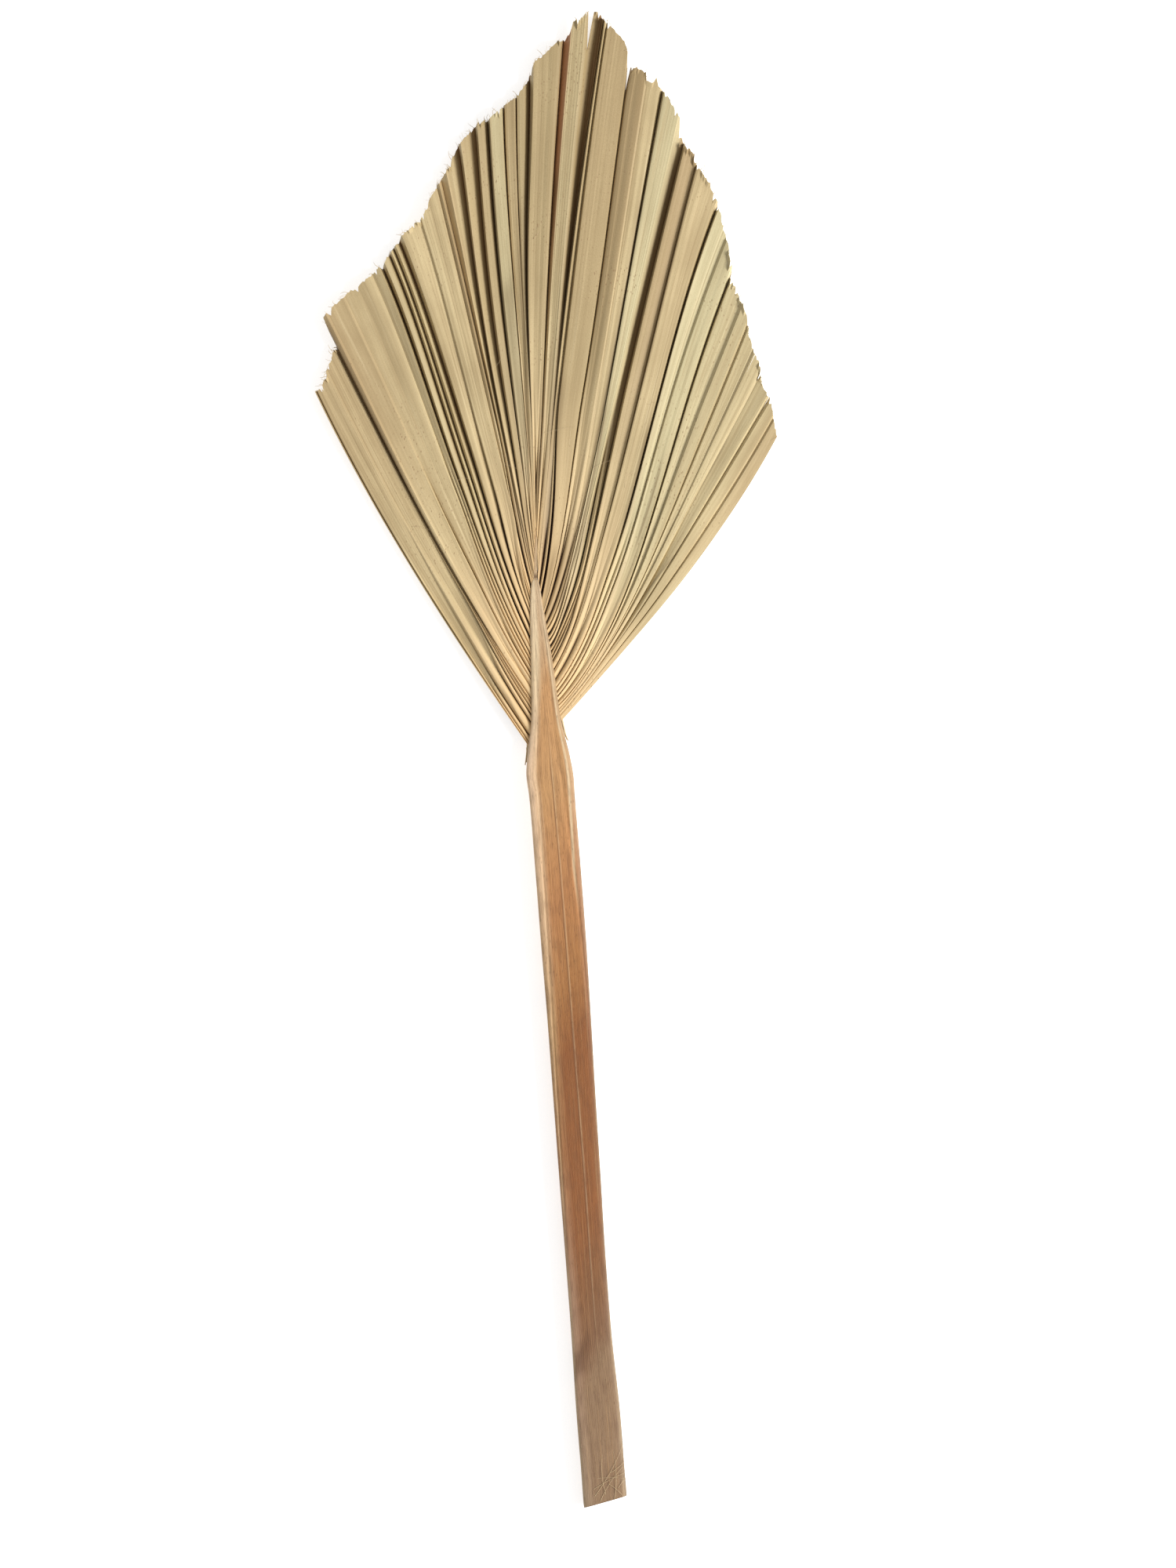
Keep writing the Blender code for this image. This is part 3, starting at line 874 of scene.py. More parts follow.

# %% [markdown]
# ## The finish of the dried blade
#
# A dried palm blade is matt and silky. Parallel veins run with the folds, some bands stay
# greenish, some turn tan, and small brown specks sit on it like freckles. The root pleats are
# orange, their backs get a painted highlight, and shade is painted into the creases, darkest
# close to the stalk. The pattern follows the folds, so it reads the UV map, whose first number
# goes across the fan and whose second goes along a fold; the tints come from the numbers that
# the sheet carries.

# %% Blade material
CREAM = (0.610, 0.480, 0.262)
TAN = (0.400, 0.296, 0.150)
PALE_STRAW = (0.680, 0.560, 0.340)
PALE_GREEN = (0.560, 0.510, 0.302)
# A painted highlight for the backs of the root pleats, stronger towards both margins
PAINTED_RIDGE_HIGHLIGHT = (0.760, 0.540, 0.290)
RUST = (0.390, 0.150, 0.072)
ORANGE = (0.600, 0.372, 0.155)
DUST = (0.315, 0.228, 0.108)
# Painted shade for the strokes of SHADES
SHADE_BROWN = (0.130, 0.078, 0.032)
# Painted shade in the creases: near black by the stalk and browner further out
PAINTED_CREASE_SHADE = (0.062, 0.026, 0.014)
PAINTED_OUTER_CREASE_SHADE = (0.235, 0.128, 0.045)
SPECK = (0.200, 0.105, 0.045)


def dried_blade():
    """The finish of the blade."""
    material, board = new_finish("dried_blade")
    across, along = uv_parts(board)
    here = board.add("ShaderNodeTexCoord")["Object"]
    veins = streaks(board, across * 560, along * 6, 0.0, 3.0, 0.65)
    threads = streaks(board, across * 230, along * 3, 7.0, 3.0, 0.6)
    bands = streaks(board, across * 80, along * 1.8, 3.0, 3.0, 0.5)
    patches = noise_on(board, here * 16.0, 3.0)
    grain = noise_on(board, here * 900.0, 2.0)
    pits = noise_on(board, here * 1300.0, 3.0, 0.75)

    # Bands, threads and veins, then dust with its pits, and rust
    dust = tint(board, "dust") * (0.25 + board.rise(along, 0.20, 0.65) * 0.75)
    rusty = tint(board, "rust") * board.rise(along + patches * 0.2, 0.45, 0.95)
    colour = glaze(board, TAN, [
        (board.rise(bands * 0.75 + patches * 0.45, 0.40, 0.80), CREAM),
        (tint(board, "green") * (0.45 + bands * 0.6), PALE_GREEN),
        (board.fall(threads, 0.28, 0.54) * 0.45, TAN),
        (board.rise(threads, 0.54, 0.76) * 0.40, PALE_STRAW),
        (board.fall(veins, 0.30, 0.60) * 0.26, TAN),
        (dust * (0.70 + threads * 0.5), DUST),
        (board.fall(pits, 0.38, 0.54) * (0.16 + dust * 0.45), DUST),
        (rusty * (0.5 + veins * 0.7), RUST),
    ])

    # Orange roots, with a painted highlight on their backs that grows towards both margins, and freckles
    rooty = board.fall(along + patches * 0.10, 0.05, 0.24) * (0.35 + bands * 0.9)
    near_stalk = board.fall(along, 0.08, 0.45)
    hollow = tint(board, "hollow")
    outer = board.rise(abs(across * 2 - 1), 0.45, 0.75)
    painted_ridge_light = board.fall(hollow, 0.08, 0.42) * (0.38 + outer * 0.38)
    gathering = board.rise(patches + grain * 0.3, 0.62, 0.80)
    specks = freckles(board, here, (520, 230, 300), (0.10, 0.26), gathering)

    # Strokes of painted shade, and shade painted into the creases: less of it on the shallow pleats at the
    # right
    creased = board.rise(hollow + near_stalk * (0.50 - outer * 0.26), 0.50, 0.98)
    uneven = streaks(board, across * 70, along * 4, 9.0, 2.0, 0.5)
    crease_shade_mask = creased * (0.30 + uneven * 1.05 + near_stalk * 0.25)
    crease_shade_mask = crease_shade_mask + tint(board, "painted_valley_shade") * 0.55 * (0.6 + bands * 0.5)
    shallow = board.rise(across, 0.68, 0.78) * board.rise(along, 0.08, 0.16)
    shallow = shallow * (1 - board.rise(along, 0.40, 0.62) * 0.55)
    painted_valley_shade = blend(board, board.rise(along, 0.25, 0.60), PAINTED_CREASE_SHADE, PAINTED_OUTER_CREASE_SHADE)
    colour = glaze(board, colour, [
        (rooty * 0.90, ORANGE),
        (near_stalk * painted_ridge_light, PAINTED_RIDGE_HIGHLIGHT),
        (specks * 0.65, SPECK),
        (tint(board, "shade") * (0.60 + threads * 0.6), SHADE_BROWN),
        (crease_shade_mask * (1 - shallow * 0.85), painted_valley_shade),
    ])

    roughness = 0.50 + bands * 0.22
    height = veins * 0.7 + threads * 0.6 + bands * 0.7 + grain * 0.35 + pits * 0.5
    finish_surface(board, colour, roughness, height, 0.16 * MM, specular=0.35)
    return material


blade_finish = dried_blade()
blade = run_tree("leaf_blade", blade_pattern, blade_tree(blade_finish), BLADE_SIZES)
print("pleated blade:", len(blade.data.polygons), "faces")

# %% [markdown]
# ## A thin skin
#
# A real blade is a third of a millimetre thick. Solidify gives the pleated sheet that
# thickness, upwards only, so that the valleys keep clear of the surface the leaf lies on.

# %% Blade thickness
BLADE_THICKNESS = 0.35 * MM
skin = blade.modifiers.new("thickness", "SOLIDIFY")
skin.thickness = BLADE_THICKNESS
skin.offset = 1.0
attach(blade, BODY)
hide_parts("blade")
print("blade skin", BLADE_THICKNESS / MM, "mm thick")

# %% [markdown]
# ## The stalk
#
# The stalk is a flat, slightly rounded bar of fibre. It swells just below the fan, narrows
# through two shoulders as the pleats spring from its edges, and ends in a small blunt cap. A
# thin rib goes on from under the cap. Both are lofts: a list of stations gives centre, width,
# thickness and underside along the leaf, and a smooth curve runs through them.

# %% Stations of the stalk and the rib
# Place along the leaf, centre across it, width, thickness and height of the underside, in mm.
STALK_STATIONS = np.array([
    (-545.5, 43.6, 31.6, 15, 0), (-480, 38.4, 32.2, 15.5, 0), (-425, 33.6, 29.8, 15.5, 0),
    (-365, 29, 29.6, 15.5, 0), (-305, 24.8, 30.6, 16, 0), (-250, 21, 31.2, 16, 0),
    (-190, 17, 32.2, 16, 0), (-135, 13, 33.4, 16.3, 0), (-75, 8.4, 33.6, 16.3, 0),
    (-26, 4.3, 33.8, 16.3, 0), (-12, 2.9, 34.6, 16, 0), (2, 2, 31.2, 15.5, 0), (27, 0.2, 22.4, 14, 0),
    (56, -2, 18.4, 13, 0.2), (74, -3.4, 16, 12.4, 0.4), (97, -5.6, 12.4, 11.6, 0.8),
    (112, -6.9, 9.8, 11, 1.2), (121, -7.5, 8, 10.4, 1.6), (127, -7.8, 6.4, 9.6, 2.2),
    (130.5, -7.9, 4.6, 8.6, 2.6), (132.4, -7.9, 2.2, 6, 4),
])
RIB_STATIONS = np.array([
    (112, -7.2, 3.2, 6, 3), (128, -7.7, 3.4, 6.8, 3.4), (140, -7.8, 3.2, 7.2, 3.4),
    (154, -7.6, 2.8, 7.4, 3.4), (166, -7.4, 2.2, 6.8, 3.6), (184, -7.2, 1.2, 4.6, 5),
])


def through(stations, places):
    """A smooth curve through every column of the stations."""
    known, values = stations[:, 0], stations[:, 1:]
    slopes = np.gradient(values, known, axis=0)
    index = np.clip(np.searchsorted(known, places, side="right") - 1, 0, len(known) - 2)
    span = known[index + 1] - known[index]
    share = ((places - known[index]) / span)[:, None]
    span = span[:, None]
    straight = values[index] * (1 - share) + values[index + 1] * share
    bend_in = (slopes[index] * span - (values[index + 1] - values[index])) * (1 - share)
    bend_out = ((values[index + 1] - values[index]) - slopes[index + 1] * span) * share
    return straight + share * (1 - share) * (bend_in + bend_out)


print("the stalk is", STALK_STATIONS[:, 2].max(), "mm wide at its widest station")

# %% [markdown]
# ## Rings round the stalk
#
# A cross-section of the stalk is a superellipse, a rounded box: nearly flat on top, rounder
# below. One groove runs down its middle and one inside each edge, where the hard skin folds
# over. `loft` lays rings of points along the bar and slants the first few for the cut.

# %% Grooves and rings
STALK_SIDES = 112
STALK_RINGS = 430
RIB_SIDES = 24
RIB_RINGS = 60
TOP_FLATNESS = 5.5
BELLY_FLATNESS = 2.3
CUT_SLANT = 9.0
SLANT_FADES_OVER = 30
GROOVES_START = -420
GROOVES_DEEPEN_OVER = 120
SHOULDER_STARTS = 20
SHOULDER_LENGTH = 30
# Places along the leaf in mm, places and width across the stalk from -1 to 1, and depth in mm.
GROOVES = {
    "middle": ([-550, -310, -190, 20], [0.17, 0.20, 0.09, 0.05], 0.035, 0.22),
    "left": ([-400, -150, 0], [-0.93, -0.72, -0.56], 0.05, 0.55),
    "right": ([-200, -90, 8, 60], [0.95, 0.72, 0.44, 0.55], 0.05, 0.60),
}


def stalk_relief(place, across):
    """Depth of the stalk's grooves, below zero, in mm."""
    below_shoulder = 1 - ease((place - SHOULDER_STARTS) / SHOULDER_LENGTH)
    relief = 0
    for name, (places, sides, width, depth) in GROOVES.items():
        groove = -depth * np.exp(-((across - np.interp(place, places, sides)) / width) ** 2)
        relief = relief + groove * (below_shoulder if name == "middle" else 1)
    return relief * ease((place - GROOVES_START) / GROOVES_DEEPEN_OVER)


def no_relief(place, across):
    """The rib is smooth."""
    return np.zeros((len(place), across.shape[1]))


def loft(stations, sides, rings, slant, relief):
    """Rings of points along a bar, and how far across the bar each point of a ring is."""
    places = np.union1d(np.linspace(stations[0, 0], stations[-1, 0], rings), stations[:, 0])
    centre, width, thickness, underside = through(stations, places).T
    underside = np.maximum(underside, 0)
    angle = tau * np.arange(sides) / sides
    flatness = np.where(np.sin(angle) > 0, TOP_FLATNESS, BELLY_FLATNESS)
    across = np.sign(np.cos(angle)) * np.abs(np.cos(angle)) ** (2 / flatness)
    up = np.sign(np.sin(angle)) * np.abs(np.sin(angle)) ** (2 / flatness)
    x = centre[:, None] + 0.5 * width[:, None] * across
    z = underside[:, None] + 0.5 * thickness[:, None] * (1 + up)
    z = z + relief(places[:, None], across[None]) * np.clip(up, 0, 1) * (width[:, None] / width.max())
    near_cut = 1 - ease((places - places[0]) / SLANT_FADES_OVER)
    y = places[:, None] + slant * 0.5 * across * near_cut[:, None]
    return np.stack([x, y, z], 2), across


stalk_grid, stalk_across = loft(STALK_STATIONS, STALK_SIDES, STALK_RINGS, CUT_SLANT, stalk_relief)
rib_grid, rib_across = loft(RIB_STATIONS, RIB_SIDES, RIB_RINGS, 0.0, no_relief)
print("stalk is", len(stalk_grid), "rings of", STALK_SIDES, "points")

# %% [markdown]
# ## From rings to a closed mesh
#
# Neighbouring rings are joined by four-sided faces. Each end is closed by three smaller rings,
# drawn in towards its middle, and one last face. At the cut end the points of those rings are
# pushed in a little at random, because a knife leaves the fibres rough.

# %% Bars with closed ends
CAP_SHARES = (0.75, 0.5, 0.25)
CUT_ROUGHNESS = 1.4


def cap_faces(outer, inner, turn):
    """Faces between two rings of an end; turn is -1 at the far end, so that they face out."""
    following = outer[1:] + outer[:1], inner[1:] + inner[:1]
    return [face[::turn] for face in zip(outer, following[0], following[1], inner)]


def bar_mesh(name, grid, across):
    """A closed mesh from rings of points."""
    rings, sides = grid.shape[:2]
    points = [tuple(p * MM) for p in grid.reshape(-1, 3)]
    faces = []
    for ring in range(rings - 1):
        for side in range(sides):
            following = (side + 1) % sides
            low, high = ring * sides, (ring + 1) * sides
            faces.append((low + following, low + side, high + side, high + following))
    side_faces = len(faces)
    for ring, turn in ((0, 1), (rings - 1, -1)):
        middle = grid[ring].mean(0)
        outer = [ring * sides + side for side in range(sides)]
        for share in CAP_SHARES:
            inner = list(range(len(points), len(points) + sides))
            for corner in grid[ring]:
                point = middle + (corner - middle) * share
                point[1] += turn * chance.uniform(0, CUT_ROUGHNESS) * (ring == 0)
                points.append(tuple(point * MM))
            faces += cap_faces(outer, inner, turn)
            outer = inner
        faces.append(tuple(outer[::turn]))
    mesh = bpy.data.meshes.new(name)
    mesh.from_pydata(points, [], faces)
    for number, polygon in enumerate(mesh.polygons):
        polygon.material_index = 0 if number < side_faces else 1
        polygon.use_smooth = number < side_faces
    places = np.array(points)[:, 1] / MM
    sideways = np.concatenate([np.tile(across, rings), np.zeros(len(points) - rings * sides)])
    store_uv(mesh, np.stack([0.5 + 0.5 * sideways, places / 1000], 1))
    return mesh


print("each end is closed by", len(CAP_SHARES) + 1, "rows of faces")

# %% [markdown]
# ## The finish of the stalk
#
# The middle of the stalk is orange brown and its edges are cream, because the hard outer skin
# was left on along the edges. Over that, the left edge is painted lighter and the lower right
# edge darker, as painted light and painted shade against the lamp at the right. It turns pale
# towards the cap and grey towards the cut end, and the rib comes out of a small painted shadow
# under the cap. All of this depends on where a point is across and along the stalk, so those
# two are its UV map, and a colour ramp that is read at the place along the stalk gives the
# colour there. A second ramp can draw a line: its grey says how far across the line runs.

# %% Colours and lines along the stalk
# Colours along the stalk, from the cut end to the cap: its middle, and its left and right edge,
# the left edge with painted light and the right edge with painted shade.
MIDDLE_COLOURS = [
    (-0.550, (0.281, 0.177, 0.100)), (-0.450, (0.264, 0.163, 0.089)), (-0.432, (0.210, 0.108, 0.054)),
    (-0.400, (0.218, 0.098, 0.040)), (-0.340, (0.250, 0.092, 0.028)), (-0.210, (0.250, 0.090, 0.026)),
    (-0.160, (0.355, 0.155, 0.048)), (-0.100, (0.421, 0.188, 0.069)), (-0.070, (0.469, 0.222, 0.084)),
    (-0.020, (0.509, 0.276, 0.113)), (0.050, (0.550, 0.296, 0.123)), (0.085, (0.588, 0.392, 0.219)),
    (0.115, (0.649, 0.467, 0.279)), (0.155, (0.588, 0.407, 0.222)), (0.180, (0.520, 0.301, 0.127)),
]
LEFT_COLOURS_WITH_PAINTED_LIGHT = [
    (-0.550, (0.350, 0.245, 0.155)), (-0.400, (0.385, 0.228, 0.140)), (-0.290, (0.385, 0.180, 0.075)),
    (-0.200, (0.500, 0.295, 0.135)), (-0.110, (0.720, 0.475, 0.275)), (0.000, (0.860, 0.610, 0.395)),
    (0.060, (0.780, 0.600, 0.365)), (0.120, (0.830, 0.645, 0.410)),
]
RIGHT_COLOURS_WITH_PAINTED_SHADE = [
    (-0.550, (0.165, 0.126, 0.088)), (-0.400, (0.155, 0.096, 0.062)), (-0.300, (0.125, 0.070, 0.032)),
    (-0.220, (0.110, 0.052, 0.027)), (-0.150, (0.204, 0.122, 0.085)), (-0.080, (0.300, 0.190, 0.125)),
    (-0.020, (0.390, 0.284, 0.190)), (0.050, (0.450, 0.310, 0.170)), (0.120, (0.590, 0.430, 0.265)),
]
PITH_BROWN = (0.205, 0.100, 0.050)
GREY_END = (0.255, 0.165, 0.102)
SKIN_CREAM = (0.660, 0.500, 0.305)
SKIN_GREEN = (0.300, 0.225, 0.125)
LIGHT_FIBRE = (0.560, 0.320, 0.135)
DARK_FIBRE_AND_SHADE = (0.095, 0.040, 0.018)
# Lines that run along the stalk: place along the leaf, and place across the stalk from -1 to 1.
LEFT_CREAM = [(-0.55, -0.97), (-0.40, -0.93), (-0.20, -0.84), (-0.06, -0.66), (0.12, -0.60)]
RIGHT_CREAM = [
    (-0.55, 0.88), (-0.40, 0.97), (-0.20, 0.98), (-0.08, 0.70), (-0.03, 0.77), (0.015, 0.78), (0.12, 0.70),
]
MIDDLE_GROOVE = [(-0.55, 0.17), (-0.31, 0.20), (-0.19, 0.09), (0.03, 0.05)]


def ridge_at(board, value, centre, width):
    """1 on a line, falling smoothly to 0 at this distance from it."""
    return board.fall(abs(value - centre), 0.0, width)


def colour_along(board, along, stops):
    """A colour that runs through stops of place along the leaf and colour."""
    start, end = stops[0][0], stops[-1][0]
    ramp = [((place - start) / (end - start), (*colour, 1.0)) for place, colour in stops]
    share = (along - start) / (end - start)
    return board.add("ShaderNodeValToRGB", {"stops": ramp}, {"Fac": share})["Color"]


def drawn_line(board, along, stops):
    """Across the stalk, a line that passes through these stops of place along and across."""
    greys = [(place, (0.5 + 0.5 * side,) * 3) for place, side in stops]
    grey = colour_along(board, along, greys)
    return board.add("ShaderNodeSeparateColor", inputs={"Color": grey})["Red"]


print("the middle of the stalk passes through", len(MIDDLE_COLOURS), "colours")

# %% [markdown]
# ## The bark
#
# The layers go on in the order of the real thing: the flesh with its stained edges, the cream
# skin in lines along them, and then the fibres that run the whole length, with mottles, the
# groove in the middle and a few freckles. A slanted water mark crosses the stalk low down.

# %% Stalk material
def stalk_bark():
    """The finish of the stalk and its rib."""
    material, board = new_finish("stalk_bark")
    across, along = uv_parts(board)
    here = board.add("ShaderNodeTexCoord")["Object"]
    fibres = streaks(board, across * 90, along * 42, 0.0, 4.0, 0.65)
    strands = streaks(board, across * 26, along * 9, 5.0, 4.0, 0.6)
    mottles = streaks(board, across * 9, along * 60, 2.0, 3.0, 0.6)
    patches = noise_on(board, here * 22.0, 3.0)
    grain = noise_on(board, here * 1100.0, 2.0)

    # Along the stalk, the slanted edge of an old water stain, and the shadow under the cap
    slanted = along - across * 0.046 + 0.023 + (patches - 0.5) * 0.030
    # The left edge colours carry painted light and the right ones painted shade
    left_edge, right_edge = [colour_along(board, along, stops) for stops in (LEFT_COLOURS_WITH_PAINTED_LIGHT, RIGHT_COLOURS_WITH_PAINTED_SHADE)]
    edge_colour = blend(board, board.rise(across, 0.40, 0.60), left_edge, right_edge)
    near_edge = abs(across * 2 - 1.15) + board.rise(along, 0.00, 0.11) * 0.55 + (strands - 0.5) * 0.35
    near_edge = near_edge - board.rise(along, 0.130, 0.136) * 0.80
    tide = ridge_at(board, slanted, -0.426, 0.014) * board.fall(across, 0.25, 0.60)
    # A painted shadow under the cap, where the rib comes out
    under_cap = board.rise(along, 0.1315, 0.1330) * board.fall(along, 0.1335, 0.1370)

    # Cream skin in lines along both edges
    cream_line, pale_line = [drawn_line(board, along, stops) for stops in (LEFT_CREAM, RIGHT_CREAM)]
    left_skin = ridge_at(board, across, cream_line, 0.05) * board.rise(strands, 0.30, 0.60) * 0.50
    right_skin = ridge_at(board, across, pale_line, 0.055) * (0.65 + strands * 0.6)
    shown = board.rise(along, -0.12, -0.07) + board.fall(along, -0.44, -0.38) * 0.22
    colour = glaze(board, colour_along(board, slanted, MIDDLE_COLOURS), [
        (board.rise(near_edge, 0.50, 1.02), edge_colour),
        (tide * 0.60, DARK_FIBRE_AND_SHADE),
        (under_cap * 0.75, DARK_FIBRE_AND_SHADE),
        (left_skin, SKIN_CREAM),
        (right_skin * shown, SKIN_CREAM),
        (board.rise(abs(across * 2 - 1), 0.90, 0.99) * 0.40, SKIN_GREEN),
    ])

    # Mottles, strands and fibres, then the groove in the middle with its pale side, and freckles
    groove = drawn_line(board, along, MIDDLE_GROOVE)
    fading = board.rise(along, -0.47, -0.35) * board.fall(along, -0.02, 0.03)
    fading = fading * board.rise(mottles + strands * 0.4, 0.45, 0.75)
    gathering = board.rise(patches + grain * 0.3, 0.56, 0.74)
    specks = freckles(board, here, (420, 150, 300), (0.08, 0.22), gathering)
    colour = glaze(board, colour, [
        (board.fall(mottles, 0.30, 0.58) * 0.28, DARK_FIBRE_AND_SHADE),
        (board.rise(strands, 0.52, 0.74) * 0.26, LIGHT_FIBRE),
        (board.fall(fibres, 0.30, 0.54) * 0.42, DARK_FIBRE_AND_SHADE),
        (board.rise(fibres, 0.56, 0.76) * 0.30, LIGHT_FIBRE),
        (ridge_at(board, across, groove, 0.022) * 0.60 * fading, DARK_FIBRE_AND_SHADE),
        (ridge_at(board, across, groove + 0.028, 0.030) * 0.24 * fading, SKIN_CREAM),
        (specks * 0.35, DARK_FIBRE_AND_SHADE),
    ])

    roughness = 0.52 + fibres * 0.28
    height = fibres * 1.5 + strands * 1.2 + mottles * 0.5 + grain * 0.15
    finish_surface(board, colour, roughness, height, 0.25 * MM, specular=0.28)
    return material


print("stalk finish ready")

# %% [markdown]
# ## The cut end of the stalk
#
# Where the stalk was cut, the ends of its fibres show as pale dots in brown pith. Cells from a
# Voronoi texture make the dots, and the same cells lift them a little.

# %% Cut end material and the stalk pieces
def cut_end():
    """The finish of the ends, where the fibres are cut across."""
    material, board = new_finish("stalk_cut_end")
    here = board.add("ShaderNodeTexCoord")["Object"]
    cells = board.add("ShaderNodeTexVoronoi", inputs={"Vector": here * 850.0, "Scale": 1.0})["Distance"]
    patches = noise_on(board, here * 120.0, 3.0)
    dots = board.fall(cells, 0.15, 0.45)
    colour = glaze(board, PITH_BROWN, [(patches, GREY_END), (dots * 0.8, SKIN_CREAM)])
    roughness = 0.75 - dots * 0.1
    finish_surface(board, colour, roughness, dots + patches, 0.30 * MM, specular=0.25)
    return material


bark_finish = stalk_bark()
end_finish = cut_end()
for name, grid, across in (("leaf_stalk", stalk_grid, stalk_across), ("stalk_rib", rib_grid, rib_across)):
    mesh = bar_mesh(name, grid, across)
    mesh.materials.append(bark_finish)
    mesh.materials.append(end_finish)
    piece = add_piece(name, mesh)
    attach(piece, BODY)
    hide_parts("stalk")
    print(name, "has", len(mesh.polygons), "faces")

# %% [markdown]
# ## Loose fibres
#
# Where the knife went through, veins tore free: hairs a few millimetres long stand out of the
# cut edge, longer ones lie across the blade, a few shreds hang at the root, and threads cross
# the foot of the stalk. Each hair is a path of a few points that turns as it goes.

# %% Paths of the hairs
STRAND_POINTS = 9
EDGE_HAIRS = 190
EDGE_HAIR_LENGTH = (2.0, 7.5)
SHORTENED_TO = (0.4, 1.0)
# Place across the fan, share of the length, then length, bearing and curl.
BLADE_HAIRS = [
    (-0.385, 0.315, 20, 100, 0.5), (-0.30, 0.50, 16, 60, -0.8), (0.150, 0.215, 24, 70, 0.3),
    (0.425, 0.325, 18, 55, 0.4), (-0.645, 0.46, 9, 40, 1.2), (-0.110, 0.23, 14, 120, -0.5),
    (0.600, 0.40, 15, -20, 1.4), (0.020, 0.62, 12, 50, -1.0), (-0.870, 0.52, 12, 75, 0.9),
]
# Start x and y, bearing, length, curl, thickness: shreds beside the root, then threads at the foot.
ROOT_SHREDS = [
    (11.2, 31, 169, 18, -0.1, 1.0), (12.0, 28, 166, 15, 0.2, 0.8), (12.6, 24, 170, 12, -0.3, 0.7),
    (-12.7, 17, 184, 20, 0.0, 0.9), (-13.3, 13, 183, 18, 0.1, 0.8), (-13.9, 8, 181, 15, -0.1, 0.7),
]
FOOT_THREADS = [
    (35, -536, 55, 38, 0.3, 0.16), (36, -541, 38, 44, -0.3, 0.16), (40, -545, 20, 40, 0.5, 0.15),
    (44, -540, -18, 30, 0.4, 0.15), (47, -524, 62, 24, -0.5, 0.16), (50, -546, 12, 38, -0.4, 0.15),
    (38, -528, 80, 26, 0.4, 0.14), (53, -535, 30, 26, 0.6, 0.14), (46, -532, 118, 16, 0.4, 0.14),
]
SHRED_HEIGHT = 8.5 * MM
THREAD_HEIGHT = 15.3 * MM
THREAD_ARCH = 0.8
BOX_INSET = 0.5 * MM
TIP_THICKNESS = 0.45


def strand(start, bearing, length, curl, arch):
    """Points of one hair, in metres: it starts at a place and bearing, turns, and arches up."""
    share = np.linspace(0, 1, STRAND_POINTS)
    turned = np.radians(bearing) + curl * share
    step = length * MM / (STRAND_POINTS - 1)
    path = np.stack([np.sin(turned), np.cos(turned), 0 * share], 1) * step
    path = np.array(start) + np.cumsum(path, 0) - path[0]
    path[:, 2] += arch * MM * np.sin(pi * share)
    return np.clip(path, np.array(cad_low) + BOX_INSET, np.array(cad_high) - BOX_INSET)


def strand_mesh(name, paths, sizes):
    """One mesh of open paths, whose vertices carry the thickness of their hair."""
    mesh = bpy.data.meshes.new(name)
    edges = [(first + point, first + point + 1)
             for first in range(0, len(paths) * STRAND_POINTS, STRAND_POINTS)
             for point in range(STRAND_POINTS - 1)]
    mesh.from_pydata(np.concatenate(paths).tolist(), edges, [])
    taper = np.linspace(1.0, TIP_THICKNESS, STRAND_POINTS)
    store(mesh, "thickness", (np.array(sizes)[:, None] * taper).ravel())
    return mesh


print("each hair has", STRAND_POINTS, "points")

# %% [markdown]
# ## Sweeping the hairs
#
# One Geometry Nodes tree turns every path into a curve and sweeps a four-sided profile along
# it, scaled by the thickness that the path carries, so that hairs get thinner towards the tip.

# %% Fibre tree and finish
FIBRE_SIZES = {"Profile radius": 1.0 * MM}
PROFILE_SIDES = 4
FIBRE_BROWN = (0.42, 0.29, 0.15)
FIBRE_CREAM = (0.70, 0.56, 0.36)


def fibre_tree(material):
    """The tree that sweeps paths into hairs."""
    tree = bpy.data.node_groups.new("swept_fibres", "GeometryNodeTree")
    board = Board(tree)
    add_inputs(tree, FIBRE_SIZES)
    size = board.add("NodeGroupInput")
    curves = board.add("GeometryNodeMeshToCurve", inputs={"Mesh": size["Geometry"]})
    profile = board.add("GeometryNodeCurvePrimitiveCircle", {"mode": "RADIUS"},
                        {"Resolution": PROFILE_SIDES, "Radius": size["Profile radius"]})
    swept = board.add("GeometryNodeCurveToMesh", inputs={
        "Curve": curves[0], "Profile Curve": profile[0], "Scale": stored(board, "thickness"),
        "Fill Caps": True})
    finish_tree(board, swept[0], material)
    return tree


def pale_fibre():
    """The finish of the hairs."""
    material, board = new_finish("pale_fibre")
    here = board.add("ShaderNodeTexCoord")["Object"]
    patches = noise_on(board, here * 60.0, 2.0)
    colour = blend(board, patches, FIBRE_BROWN, FIBRE_CREAM)
    grain = noise_on(board, here * 1500.0, 2.0)
    finish_surface(board, colour, 0.6 + patches * 0.1, grain, 0.05 * MM, specular=0.3)
    return material


def sweep(name, paths, sizes, node):
    """Turn paths into one piece of thin fibres."""
    piece = run_tree(name, strand_mesh(name + "_paths", paths, sizes), swept_fibres, FIBRE_SIZES)
    piece.data.shade_smooth()
    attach(piece, BODY)
    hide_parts(node)
    print(name, "has", len(paths), "strands and", len(piece.data.polygons), "faces")


swept_fibres = fibre_tree(pale_fibre())
print("fibre tree has", len(FIBRE_SIZES), "named size")

# %% [markdown]
# ## Placing the hairs
#
# Hairs stand out of the cut edge at seeded random vertices of its last row, and mostly point
# away from the middle of the blade. The longer ones start at the vertex that is nearest to
# their place on the fan, and lie just above the highest pleat close by.

# %% Hairs, shreds and threads
BLADE_MIDDLE = np.array([0, 300]) * MM
BEARING_SPREAD = 35
HAIR_CURL = 1.6
EDGE_HAIR_ARCH = 1.2
EDGE_HAIR_THICKNESS = (0.09, 0.24)
BLADE_HAIR_THICKNESS = 0.09
BLADE_HAIR_ARCH = 0.6
LIES_ABOVE = 0.6 * MM

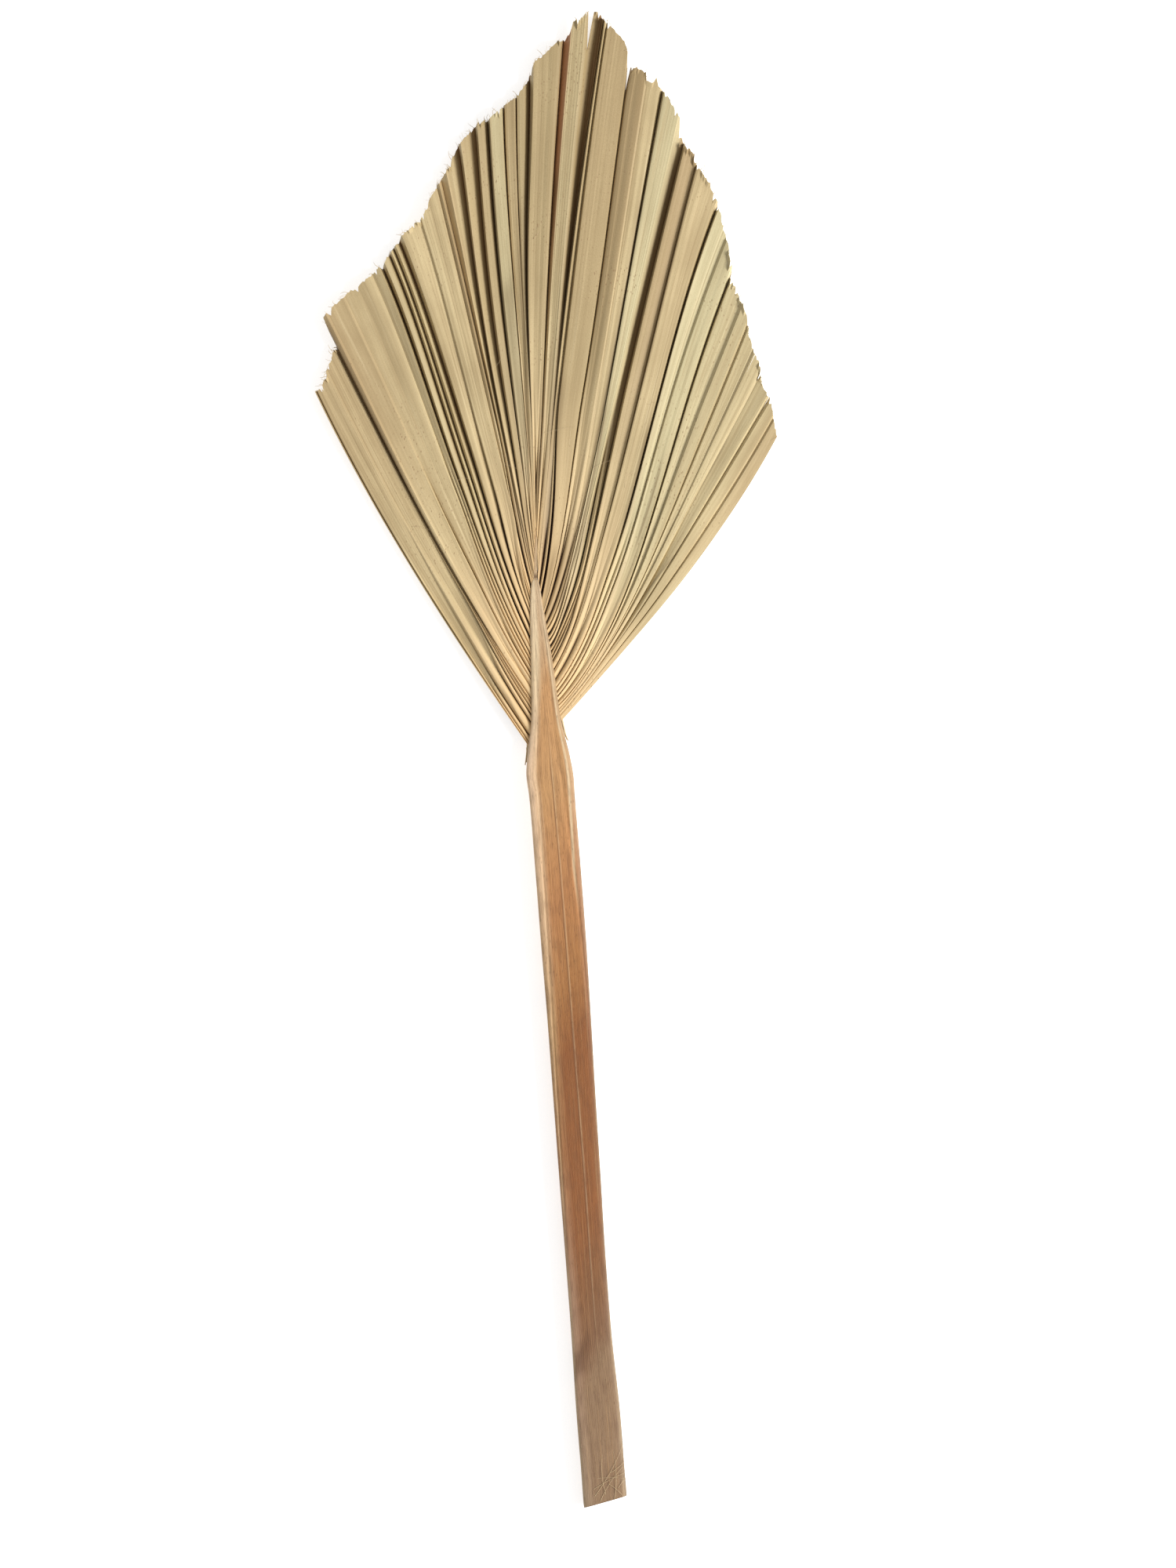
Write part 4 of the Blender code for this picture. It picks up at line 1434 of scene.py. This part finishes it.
spots = np.array([vertex.co for vertex in blade.data.vertices])
edge_spots = spots[stored_values(blade.data, "at_cut") > 0.5]
edge_spots = edge_spots[chance.choice(len(edge_spots), EDGE_HAIRS, replace=False)]
blade_paths = []
blade_sizes = []
for spot in edge_spots:
    outward = np.degrees(np.arctan2(*(spot[:2] - BLADE_MIDDLE)))
    bearing = outward + chance.normal(0, BEARING_SPREAD)
    length = chance.uniform(*EDGE_HAIR_LENGTH) * chance.uniform(*SHORTENED_TO)
    curl = chance.uniform(-HAIR_CURL, HAIR_CURL)
    arch = chance.uniform(0, EDGE_HAIR_ARCH)
    blade_paths.append(strand(spot + np.array([0, 0, BLADE_THICKNESS]), bearing, length, curl, arch))
    blade_sizes.append(chance.uniform(*EDGE_HAIR_THICKNESS))

places_now, shares_now = [stored_values(blade.data, name) for name in ("place", "along")]
for place, along, length, bearing, curl in BLADE_HAIRS:
    start = spots[(np.abs(places_now - place) + np.abs(shares_now - along)).argmin()].copy()
    near = np.hypot(*(spots - start).T[:2]) < 0.5 * length * MM
    start[2] = spots[near, 2].max() + LIES_ABOVE
    blade_paths.append(strand(start, bearing, length, curl, BLADE_HAIR_ARCH))
    blade_sizes.append(BLADE_HAIR_THICKNESS)
sweep("cut_edge_hairs", blade_paths, blade_sizes, "blade")

stalk_paths = []
stalk_sizes = []
for strands, height in ((ROOT_SHREDS, SHRED_HEIGHT), (FOOT_THREADS, THREAD_HEIGHT)):
    for x, y, bearing, length, curl, thickness in strands:
        stalk_paths.append(strand((x * MM, y * MM, height), bearing, length, curl, THREAD_ARCH))
        stalk_sizes.append(thickness)
sweep("stalk_threads", stalk_paths, stalk_sizes, "stalk")

# %% [markdown]
# ## Floor and light
#
# The leaf lies on a light table, whose white panel glows a little, so that shadows stay pale.
# One large soft lamp at the right rakes across the pleats, so that every wall that faces left
# falls into shade, and a white sky fills the rest.

# %% Light table, sky and key lamp
FLOOR_REACH = 40.0
FLOOR_COLOUR = (0.86, 0.86, 0.86, 1.0)
FLOOR_GLOW = 0.66
SKY_STRENGTH = 0.55
KEY_PLACE = (2.2, -0.30, 1.7)
KEY_TARGET = (0.0, 0.10, 0.0)
KEY_SIZE = 1.0
KEY_POWER = 100
scene = bpy.context.scene
scene.view_settings.view_transform = "Standard"

floor_mesh = bpy.data.meshes.new("floor")
corners = [(x * FLOOR_REACH, y * FLOOR_REACH, 0) for x, y in ((-1, -1), (1, -1), (1, 1), (-1, 1))]
floor_mesh.from_pydata(corners, [], [(0, 1, 2, 3)])
floor_finish, floor_board = new_finish("light_table")
table_inputs = {"Base Color": FLOOR_COLOUR, "Roughness": 0.9}
table_inputs.update({"Emission Color": FLOOR_COLOUR, "Emission Strength": FLOOR_GLOW})
table = floor_board.add("ShaderNodeBsdfPrincipled", inputs=table_inputs)
floor_board.add("ShaderNodeOutputMaterial", inputs={"Surface": table["BSDF"]})
floor_mesh.materials.append(floor_finish)
add_piece("floor", floor_mesh)

world = bpy.data.worlds.new("studio")
scene.world = world
world.use_nodes = True
sky = world.node_tree.nodes["Background"]
sky.inputs["Color"].default_value = (1, 1, 1, 1)
sky.inputs["Strength"].default_value = SKY_STRENGTH

key = bpy.data.lights.new("key", "AREA")
key.shape = "SQUARE"
key.size = KEY_SIZE
key.energy = KEY_POWER
key_holder = bpy.data.objects.new("key", key)
scene.collection.objects.link(key_holder)
key_holder.location = KEY_PLACE
key_holder.rotation_euler = (Vector(KEY_TARGET) - Vector(KEY_PLACE)).to_track_quat("-Z", "Y").to_euler()
print("key lamp of", KEY_POWER, "W and a sky of", SKY_STRENGTH)

# %% [markdown]
# ## Camera
#
# The camera looks straight down, and is far away with a long lens, as for a flat lay. The lens
# follows from the height of the camera and the length of the view.

# %% Camera
VIEW_CENTRE = (0.0309, -0.0188)
VIEW_LENGTH = 1.155
CAMERA_HEIGHT = 3.4
SENSOR = 36

lens = bpy.data.cameras.new("camera")
lens.sensor_width = SENSOR
lens.lens = SENSOR * CAMERA_HEIGHT / VIEW_LENGTH
camera = bpy.data.objects.new("camera", lens)
camera.location = (*VIEW_CENTRE, CAMERA_HEIGHT)
scene.collection.objects.link(camera)
scene.camera = camera
print("camera", CAMERA_HEIGHT, "m above the floor, lens", round(lens.lens, 1), "mm")
